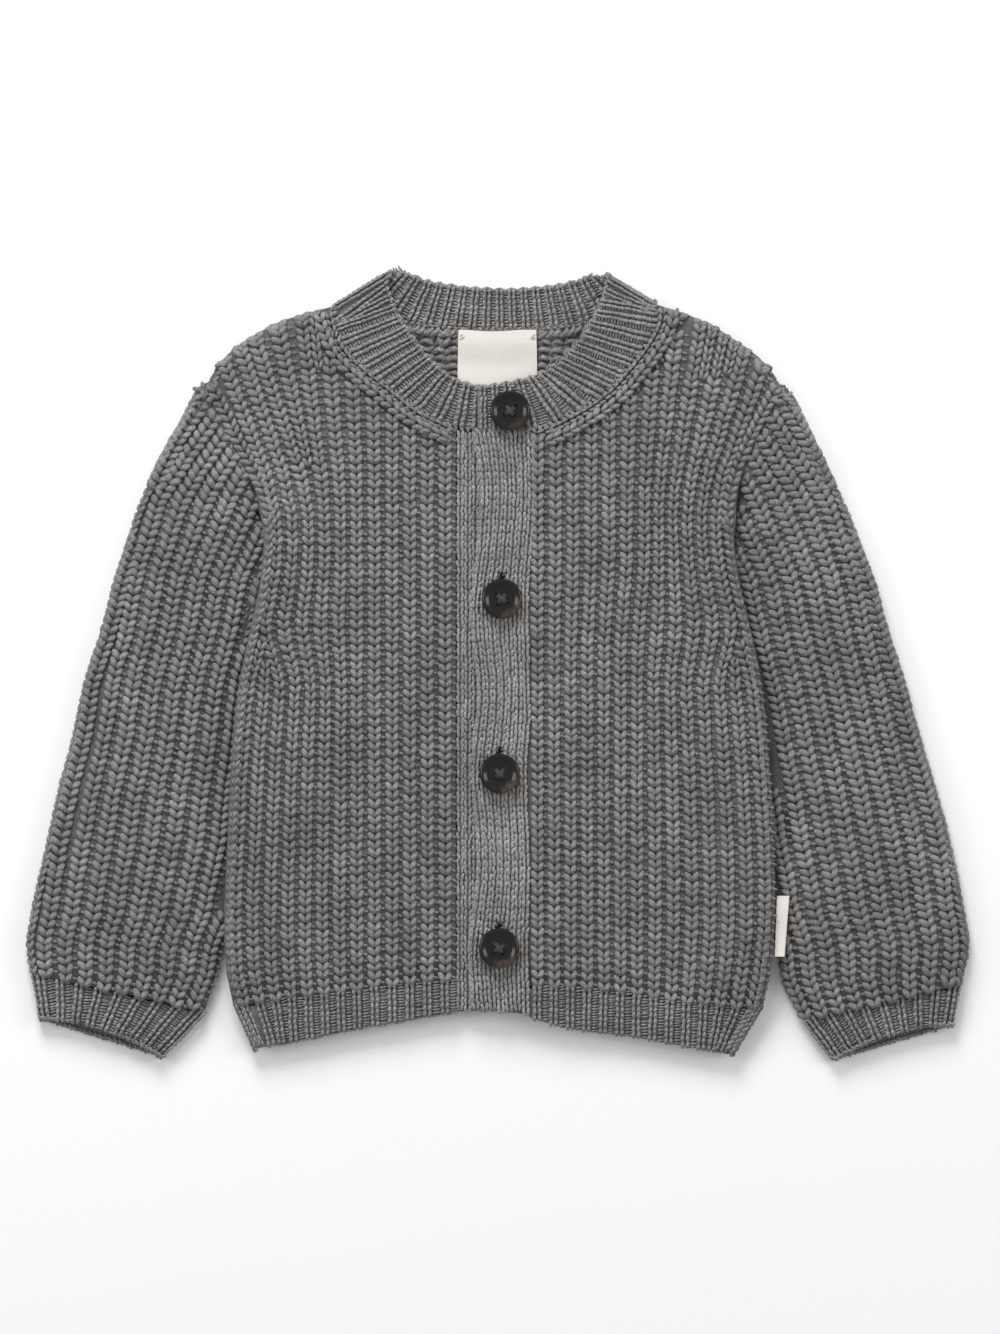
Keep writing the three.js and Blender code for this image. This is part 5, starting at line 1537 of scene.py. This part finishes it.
# %% [markdown]
# ## The button bands
# Both bands are a close stockinette of small stitches. The top band's free edge is pinched in a wave
# by the buttons, and its columns of stitches follow that wave. An upright buttonhole, whipped round
# with yarn, opens above each button. It could be cut out of a finished band, but then whole yarns
# would be cut open, so the stitches that would lie in it are left out instead.


# %% Buttonholes
SLIT_BELOW, SLIT_ABOVE = 5, 11.6  # reach of a buttonhole from its button's centre
SLIT_HALF = 2.2  # half its width
BAND_TOP = 8.0  # height at which the whipping lies


def whip(knitting, button):
    """Overcast stitches that close a buttonhole's sides to a narrow notch."""
    x, y = button
    for sign in (-1, 1):
        t = np.arange(-SLIT_BELOW, SLIT_ABOVE + 1, 1.7)
        aside = sign * (2.0 - 1.1 * smooth((t - 8) / 5))
        place = level(np.column_stack([x + aside, y + t]), BAND_TOP)
        knitting.lay("f_cord", place, np.tile([0.75 * sign, 0.6, 0], (len(t), 1)),
                     np.tile([-0.2 * sign, 0, 1], (len(t), 1)), (0.75, 0.75, 0.9))
    top = np.array([[x, y + SLIT_ABOVE + 1.0, BAND_TOP]])
    knitting.lay("f_cord", top, np.array([[0.1, 1.0, 0]]), np.array([[0, 0, 1.0]]), (0.8, 0.9, 0.9))


def clear_of_slits(xy):
    """Leaves out the stitches where a buttonhole opens."""
    clear = np.ones(len(xy), bool)
    for x, y in BUTTONS:
        across, up = np.abs(xy[:, 0] - x), xy[:, 1] - y
        clear &= (across > SLIT_HALF) | (up < -SLIT_BELOW) | (up > SLIT_ABOVE)
    return clear


print("buttonholes at", [y for _, y in BUTTONS], "mm")


# %% Columns of a band
def lay_band(knitting, node, left, right, columns):
    """Columns of small stitches spread evenly between a band's two edges."""
    wide = np.linalg.norm(at_length(right, [100]) - at_length(left, [100])) / columns / BAND_PITCH
    for column in range(columns):
        line = left + (right - left) * (column + 0.5) / columns
        phase = rng.uniform(0.15, 0.85)
        for xy, along, spacing, _ in runs(
                line, lambda xy: np.isfinite(heights(node, xy)) & clear_of_slits(xy), BAND_ROW, 0.3, phase):
            place, travel, up, _ = on_skin(node, xy, along, reach=0.8)
            knitting.lay("d_band", place, travel, up, (wide, spacing / BAND_ROW, 1.0), 1.2)


free_edge, band_seam = even(spline(BAND_FREE_EDGE), 400), even(spline(BAND_SEAM), 400)
print("button band", round(lengths(free_edge)[-1]), "mm long")

# %% Knit the button band
SEAM_COVER = 0.8  # how far the last column reaches over the seam
EDGE_Z = 7.7  # height of the column that turns round the free edge
knitting = Stitching()
lay_band(knitting, "button_band", free_edge, band_seam + [SEAM_COVER, 0], 7)
xy, along = stepped(free_edge, BAND_ROW)
outward = -to_right(along)
knitting.lay("d_band", level(xy + outward * 0.1, EDGE_Z), level(along), unit(level(outward, 0.1)),
             (0.9, 1.0, 1.0))
lay_edge(knitting, np.array([BAND_FREE_EDGE[0], BAND_SEAM[0]]) + [0, 0.3], 7.9, 1.0, 2.4)
for button in BUTTONS[1:]:
    whip(knitting, button)
knitting.piece("button_band_stitches", BAND_WOOL_PAINTED_LIGHT)

# %% Knit the under band
UNDER_BAND_X = (-17.3, -4.3)  # the strip of it that can be seen, left of the button band
under_left, under_right = (np.column_stack([np.full(300, x), np.linspace(bottom, 97.4, 300)])
                           for x, bottom in zip(UNDER_BAND_X, (-145, -144.6)))
knitting = Stitching()
lay_band(knitting, "under_band", under_left, under_right, 4)
lay_edge(knitting, np.array([(UNDER_BAND_X[0], -145), (4.4, -144.2)]) + [0, 0.3], 5.4, 1.2, 2.4)
knitting.piece("under_band_stitches", BAND_WOOL_PAINTED_LIGHT)

# %% [markdown]
# ## Clearing away
# The knitting is done, so the models of the stitches are removed. Left in the scene, they would lie
# at its middle as pieces of their own.

# %% Put the stitch models away
for model in list(stitch_box.objects):
    bpy.data.objects.remove(model)
bpy.data.collections.remove(stitch_box)

# %% [markdown]
# ## Labels
# Both labels are cream woven tape, and both are bare. A flat texture could stand for the weave, but
# two crossing waves of fine relief catch the light as threads do.


# %% Woven tape
CREAM = (1, 0.955, 0.9)


def tape_finish(name, grey):
    """Cream woven tape, as light as its grey says."""
    material, nodes, links, skin = new_finish(name, {"Roughness": 0.75, "Specular IOR Level": 0.25})
    place = nodes.new("ShaderNodeTexCoord")
    faint = nodes.new("ShaderNodeTexNoise")
    faint.inputs["Scale"].default_value = 90
    faint.inputs["Detail"].default_value = 4
    links.new(place.outputs["Object"], faint.inputs["Vector"])
    shades = nodes.new("ShaderNodeValToRGB")
    for stop, share in zip(shades.color_ramp.elements, (0.94, 1.04)):
        stop.color = (*(grey * share * np.array(CREAM)), 1)
    links.new(faint.outputs["Fac"], shades.inputs["Fac"])
    links.new(shades.outputs["Color"], skin.inputs["Base Color"])
    weave = []
    for direction in ("X", "Y"):
        thread = nodes.new("ShaderNodeTexWave")
        thread.bands_direction = direction
        thread.inputs["Scale"].default_value = 620
        thread.inputs["Distortion"].default_value = 0.6
        links.new(place.outputs["Object"], thread.inputs["Vector"])
        weave.append(thread)
    both = nodes.new("ShaderNodeMath")
    both.operation = "MULTIPLY"
    for socket, thread in zip(both.inputs, weave):
        links.new(thread.outputs["Fac"], socket)
    return embossed(material, both.outputs[0], 0.35, 0.2)


NECK_TAPE = tape_finish("cream tape", 0.73)
SIDE_TAPE = tape_finish("cream tape, folded", 0.82)
print("tapes", [NECK_TAPE.name, SIDE_TAPE.name])

# %% [markdown]
# ## The neck label
# The neck label is a flat piece of tape sewn on at its top corners. It could be a plain box, but a
# real one is a little slack: so it is a sheet of points with a slight wave, closed on every side.


# %% A label's body
SHARPEST = math.radians(40)  # faces that meet at less than this are shaded as one


def finish_label(mesh, finish, node):
    """Makes an object of a label's closed mesh, and puts it in the place of its node."""
    face_out(mesh)
    body = bpy.data.objects.new(mesh.name, mesh)
    bpy.context.collection.objects.link(body)
    chosen(body)
    bpy.ops.object.shade_smooth_by_angle(angle=SHARPEST)
    mesh.materials.append(finish)
    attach(body, "root")
    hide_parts(node)
    return body


def cloth_mesh(name, grid, thickness):
    """A closed thin sheet from rows of points in millimetres, thickened away from +Z."""
    rows, columns = grid.shape[:2]
    top = grid.reshape(-1, 3)
    bottom = top - [0, 0, thickness]
    at = np.arange(rows * columns).reshape(rows, columns)
    quads = np.stack([at[:-1, :-1], at[:-1, 1:], at[1:, 1:], at[1:, :-1]], -1).reshape(-1, 4)
    rim = np.concatenate([at[0, :], at[1:, -1], at[-1, -2::-1], at[-2:0:-1, 0]])
    ahead = np.roll(rim, -1)
    low = rows * columns
    walls = np.stack([rim, rim + low, ahead + low, ahead], -1)
    faces = np.concatenate([quads, quads[:, ::-1] + low, walls])
    mesh = bpy.data.meshes.new(name)
    mesh.from_pydata((np.vstack([top, bottom]) * MM).tolist(), [], faces.tolist())
    return mesh


# %% The neck label
TAPE_THICK = 0.5
u, v = np.meshgrid(np.linspace(0, 1, 25), np.linspace(0, 1, 25))
x = -16.8 + 33.4 * u + (0.5 - u) * 0.9 * v**3
y = 108 + (32.2 + 0.35 * np.cos(u * 7)) * v
z = 3.95 + 1.7 * smooth((v - 0.5) / 0.4) + 0.18 * np.sin(u * 6.1 + 1) * (1 - v)
label = cloth_mesh("neck_label", np.stack([x, y, z], -1), TAPE_THICK)
LABELS = {"label_neck": finish_label(label, NECK_TAPE, "label_neck")}
corner_thread = bpy.data.objects.new("neck_label_thread", mesh_of("neck_label_thread", [
    yarn([(cx - 0.8, cy - 0.7, 5.4), (cx, cy, 5.85), (cx + 0.8, cy + 0.7, 5.4)], [0.2, 0.3, 0.2], 6)
    for side in (-1, 1) for cx, cy in ((side * 15.2, 138.2), (side * 14.4, 137.3), (side * 15.3, 136.9))]))
bpy.context.collection.objects.link(corner_thread)
print("neck label", np.round(LABELS["label_neck"].dimensions / MM, 1), "mm")

# %% [markdown]
# ## The side label
# The side label is folded, with its fold outwards and its ends sewn into the seam. Two loops of
# points, one for the outside of the fold and one for its inside, are carried along it and joined.

# %% The side label
TAB_ROWS = [(-122, 116.0, 120.2), (-109, 116.5, 121.2), (-96.6, 116.9, 122.2)]  # height, sewn x, fold x
TAB_BASE, TAB_CLOTH = 8.1, 1.3
OUTSIDE = [(0, 0), (0.8, 0), (0.94, 0.14), (1, 0.5), (0.94, 0.86), (0.8, 1), (0, 1)]
INSIDE = [(0.06, 0.28), (0.76, 0.28), (0.85, 0.33), (0.9, 0.5), (0.85, 0.67), (0.76, 0.72), (0.06, 0.72)]
rows = 14
y = np.linspace(TAB_ROWS[0][0], TAB_ROWS[-1][0], rows)
sewn, fold = (np.interp(y, [r[0] for r in TAB_ROWS], [r[k] for r in TAB_ROWS]) for k in (1, 2))
lift = TAB_BASE + 0.12 * np.sin(y * 0.35)
ring = len(OUTSIDE)
verts = [(sewn[i] + (fold[i] - sewn[i]) * u, y[i], lift[i] + TAB_CLOTH * w)
         for loop in (OUTSIDE, INSIDE) for i in range(rows) for u, w in loop]
faces = []
for j in range(ring):
    k = (j + 1) % ring
    for i in range(rows - 1):
        a, b, c, d = i * ring + j, i * ring + k, (i + 1) * ring + k, (i + 1) * ring + j
        faces += [(a, b, c, d), tuple(rows * ring + n for n in (d, c, b, a))]
    for i, flip in ((0, False), (rows - 1, True)):
        end = (i * ring + k, i * ring + j, (rows + i) * ring + j, (rows + i) * ring + k)
        faces.append(end[::-1] if flip else end)
mesh = bpy.data.meshes.new("side_label")
mesh.from_pydata((np.array(verts) * MM).tolist(), [], faces)
LABELS["label_side"] = finish_label(mesh, SIDE_TAPE, "label_side")
print("labels", list(LABELS))

# %% [markdown]
# ## Buttons
# The buttons are of dark horn. It is nearly black, with brown clouds of its own, and towards the lower
# right of the rim it is painted brown and clearer: partly the horn's own colour, partly a painted glow
# of light shining through the rim. Each vertex keeps its own place across the button, so the horn's
# clouds turn with it.


# %% Horn
def horn():
    """Polished dark horn, browned by its own clouds and by a painted glow of light on one side of the rim.
    """
    material, nodes, links, skin = new_finish("dark horn", {
        "Roughness": 0.24, "Specular IOR Level": 0.35, "Coat Weight": 0.25, "Coat Roughness": 0.1})
    across = nodes.new("ShaderNodeAttribute")
    across.attribute_name = "across"
    cloud = nodes.new("ShaderNodeTexNoise")
    cloud.inputs["Scale"].default_value = 2.2
    cloud.inputs["Detail"].default_value = 5
    links.new(across.outputs["Vector"], cloud.inputs["Vector"])
    # one side of the rim, the same on every button: a painted glow of light through the horn, mixed with
    # its own clouds
    side = nodes.new("ShaderNodeVectorMath")
    side.operation = "DOT_PRODUCT"
    side.inputs[1].default_value = (0.6, -0.8, 0)
    links.new(across.outputs["Vector"], side.inputs[0])
    drift = nodes.new("ShaderNodeMath")
    drift.operation = "MULTIPLY_ADD"
    drift.inputs[1].default_value = 0.9
    links.new(cloud.outputs["Fac"], drift.inputs[0])
    links.new(side.outputs["Value"], drift.inputs[2])
    clear = nodes.new("ShaderNodeMapRange")
    clear.inputs["From Min"].default_value = 1.0
    clear.inputs["From Max"].default_value = 1.55
    links.new(drift.outputs[0], clear.inputs["Value"])
    share = nodes.new("ShaderNodeSeparateXYZ")
    links.new(across.outputs["Vector"], share.inputs["Vector"])
    brown_and_painted_glow = nodes.new("ShaderNodeMath")
    brown_and_painted_glow.operation = "MULTIPLY"
    links.new(clear.outputs["Result"], brown_and_painted_glow.inputs[0])
    links.new(share.outputs["Z"], brown_and_painted_glow.inputs[1])
    mix = nodes.new("ShaderNodeMix")
    mix.data_type = "RGBA"
    mix.inputs["A"].default_value = (0.008, 0.0074, 0.0072, 1)
    mix.inputs["B"].default_value = (0.12, 0.082, 0.052, 1)
    links.new(brown_and_painted_glow.outputs[0], mix.inputs["Factor"])
    links.new(mix.outputs["Result"], skin.inputs["Base Color"])
    return material


HORN = horn()
print("horn", len(HORN.node_tree.nodes), "nodes")

# %% [markdown]
# ## Turning and drilling
# A button is a turned disc with a raised rim, a dished middle and four holes. A lathe would cut its
# profile. Here a disc is extruded and resized ring by ring, and then it is drilled, which gives the
# holes their clean edges. One button is made, and the others are its copies.

# %% Turn and drill a button
BUTTON_BASE = 10.5  # height of the button's underside above the table
PROFILE = [(5, 0.2), (7.2, 0.5), (8.1, 1.2), (8.4, 1.9), (8.15, 2.6), (7.6, 3.0), (7.0, 3.0),
           (6.4, 2.65), (5.9, 2.2), (5.2, 1.95), (4.4, 1.85)]  # radius and height of each ring
HOLE_SPREAD, HOLE_RADIUS = 1.75, 1.05


def turned(name, profile):
    """A disc extruded and resized ring by ring; it stands on its first ring."""
    bpy.ops.object.select_all(action="DESELECT")
    bpy.ops.mesh.primitive_circle_add(vertices=64, radius=profile[0][0] * MM, fill_type="NGON",
                                      location=(0, 0, profile[0][1] * MM))
    disc = bpy.context.object
    disc.name = name
    bpy.ops.object.transform_apply(location=True)
    bpy.ops.object.mode_set(mode="EDIT")
    bpy.ops.mesh.select_mode(type="FACE")
    bpy.ops.mesh.select_all(action="SELECT")
    for (r0, z0), (r1, z1) in zip(profile, profile[1:]):
        bpy.ops.mesh.extrude_region_move(TRANSFORM_OT_translate={"value": (0, 0, (z1 - z0) * MM)})
        bpy.ops.transform.resize(value=(r1 / r0, r1 / r0, 1), center_override=(0, 0, z1 * MM))
    bpy.ops.mesh.select_all(action="SELECT")
    bpy.ops.mesh.normals_make_consistent(inside=False)
    bpy.ops.object.mode_set(mode="OBJECT")
    return disc


def drilled(disc):
    """Four holes through a disc."""
    for x in (-HOLE_SPREAD, HOLE_SPREAD):
        for y in (-HOLE_SPREAD, HOLE_SPREAD):
            bpy.ops.object.select_all(action="DESELECT")
            bpy.ops.mesh.primitive_cylinder_add(vertices=24, radius=HOLE_RADIUS * MM, depth=8 * MM,
                                                location=(x * MM, y * MM, MM))
            drill = bpy.context.object
            cut = disc.modifiers.new("hole", "BOOLEAN")
            cut.operation = "DIFFERENCE"
            cut.object = drill
            bpy.context.view_layer.objects.active = disc
            bpy.ops.object.modifier_apply(modifier=cut.name)
            bpy.data.objects.remove(drill)
    return disc


model = drilled(turned("button", PROFILE))
across = np.array([v.co[:] for v in model.data.vertices]) / (PROFILE[3][0] * MM)
model.data.attributes.new("across", "FLOAT_VECTOR", "POINT").data.foreach_set("vector", across.ravel())
chosen(model)
bpy.ops.object.shade_smooth_by_angle(angle=SHARPEST)
model.data.materials.append(HORN)
print("button", len(model.data.polygons), "faces")

# %% [markdown]
# ## Thread
# Each button is sewn on with dark thread, crossed over its holes and wound round under it. It is
# made of the same lengths of yarn as the stitches, only thinner and smoother.


# %% Thread
def thread_finish(name, base, roughness):
    """Twisted sewing thread of one colour."""
    material, nodes, links, _ = new_finish(name, {"Roughness": roughness, "Base Color": (*base, 1)})
    along = nodes.new("ShaderNodeUVMap")
    along.uv_map = "yarn"
    twist = nodes.new("ShaderNodeTexWave")
    twist.bands_direction = "DIAGONAL"
    twist.inputs["Scale"].default_value = 0.9
    links.new(along.outputs["UV"], twist.inputs["Vector"])
    return embossed(material, twist.outputs["Fac"], 0.5, 0.2)


BUTTON_THREAD = thread_finish("dark thread", (0.07, 0.07, 0.07), 0.35)
TAN_THREAD = thread_finish("tan thread", (0.5, 0.43, 0.34), 0.6)
corner_thread.data.materials.append(TAN_THREAD)
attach(corner_thread, "root")
print("threads", [BUTTON_THREAD.name, TAN_THREAD.name])


# %% Sew the buttons on
def sewing():
    """Thread of one button, round its own centre: a cross of four strands, a winding and a shank."""
    d, top = HOLE_SPREAD, BUTTON_BASE + 2.5
    tubes = []
    for turn, over in ((1, 0), (-1, 0.5)):
        for aside in (-0.3, 0.3):
            shares = np.array([-1.05, -0.95, -0.6, 0, 0.6, 0.95, 1.05]) * d
            z = top + over + np.array([-2.4, -1.0, -0.25, 0, -0.25, -1.0, -2.4])
            path = np.column_stack([shares + aside * turn, shares * turn - aside, z])
            tubes.append(yarn(path, np.full(7, 0.34), 8))
    angle = np.linspace(0, 5 * math.pi, 50)
    wound = np.column_stack([2.4 * np.cos(angle), 2.4 * np.sin(angle), 9.3 + 0.7 * angle / angle[-1]])
    tubes.append(yarn(wound, np.full(50, 0.38), 6))
    tubes.append(yarn([(0, 0, 7.3), (0, 0.01, 8.6), (0, 0, 9.9)], [0.9, 1.0, 1.0], 8))
    return mesh_of("thread", tubes)


# the share of brown sets both the horn's own brown clouds and its painted glow of light
BUTTON_LOOKS = ((-8, 0.25), (5, 0.85), (0, 1.0), (-12, 0.9))  # how far each is turned, and how brown
sewn_on = sewing()
FITTINGS = {}
for index, (x, y) in enumerate(BUTTONS, 1):
    turn, brown_and_glow = BUTTON_LOOKS[index - 1]
    spin = Matrix.Rotation(math.radians(turn), 4, "Z")
    for name, mesh, height, finish in ((f"button_{index}", model.data, BUTTON_BASE, HORN),
                                       (f"button_thread_{index}", sewn_on, 0, BUTTON_THREAD)):
        body = mesh.copy()
        body.transform(Matrix.Translation((x * MM, y * MM, height * MM)) @ spin)
        piece = bpy.data.objects.new(name + "_made", body)
        bpy.context.collection.objects.link(piece)
        body.materials.clear()
        body.materials.append(finish)
        if "across" in body.attributes:
            across[:, 2] = brown_and_glow
            body.attributes["across"].data.foreach_set("vector", across.ravel())
        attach(piece, "root")
        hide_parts(name)
        FITTINGS[name] = piece
bpy.data.objects.remove(model)
print("fittings", len(FITTINGS))

# %% [markdown]
# ## What each cloth is cut to
# Every cloth is a sheet that lies flat. Its cut is given as width, length and area before it was
# laid. A maker would start from these numbers. Here the pieces were drawn first: each area is half
# the surface of its lining or label as first made, rounded, and width and length were chosen to
# hold it. So it is no check of either that these areas agree with the linings.

CUTS = {  # width, length and area in millimetres; sleeves, cuffs and the folded label are whole
    "back": (232, 296, 62500), "front_right": (108, 293, 25000), "front_left": (110, 295, 26300),
    "sleeve_right": (150, 264, 31500), "sleeve_left": (148, 266, 30700),
    "back_hem": (224, 18, 3400), "front_right_hem": (94, 19, 1560), "front_left_hem": (98, 19, 1700),
    "cuff_right": (132, 20, 2480), "cuff_left": (116, 18, 1950), "neckband": (303, 20.5, 6050),
    "button_band": (24, 244, 5600), "under_band": (22.6, 244, 5500),
    "label_neck": (33.4, 32.5, 1080), "label_side": (25.4, 10.3, 258),
}
RESTS_ON = {
    "back": "table", "sleeve_right": "table", "sleeve_left": "table", "back_hem": "table",
    "cuff_right": "table", "cuff_left": "table", "front_right": "back_cloth",
    "front_left": "back_cloth", "front_right_hem": "back_hem_cloth",
    "front_left_hem": "back_hem_cloth", "neckband": "back_cloth", "under_band": "back_cloth",
    "button_band": "under_band_cloth", "label_neck": "back_cloth", "label_side": "front_left_cloth",
}
for node, (width, length, area) in CUTS.items():
    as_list(RESTS_ON[node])
print("sheets", len(CUTS))

# %% [markdown]
# ## Slots
# A slot names what a piece is made of, so that someone else can give the part their own materials.
# In the table a node stands for its lining and its stitches together, because they are one cloth; the
# loops below only look each one up, and no slot is set on any piece.

# %% The table of slots
SLOTS = {"chunky_rib": ("back", "front_right", "front_left", "sleeve_right", "sleeve_left"),
         "fine_rib": ("back_hem", "front_right_hem", "front_left_hem", "cuff_right", "cuff_left",
                      "neckband"),
         "band_knit": ("button_band", "under_band"), "label_tape": ("label_neck", "label_side")}
for name, nodes in SLOTS.items():
    for node in nodes:
        LININGS.get(node) or LABELS[node]
for name, piece in FITTINGS.items():
    "thread" if "thread" in name else "horn"
print("slots", [*SLOTS, "horn", "thread"])

# %% [markdown]
# ## Finish
# The triangles in all the shown meshes are counted.

# %% Finish
total = sum(triangles(piece.data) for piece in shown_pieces() if piece.type == "MESH")
print("triangles in the pieces", total)
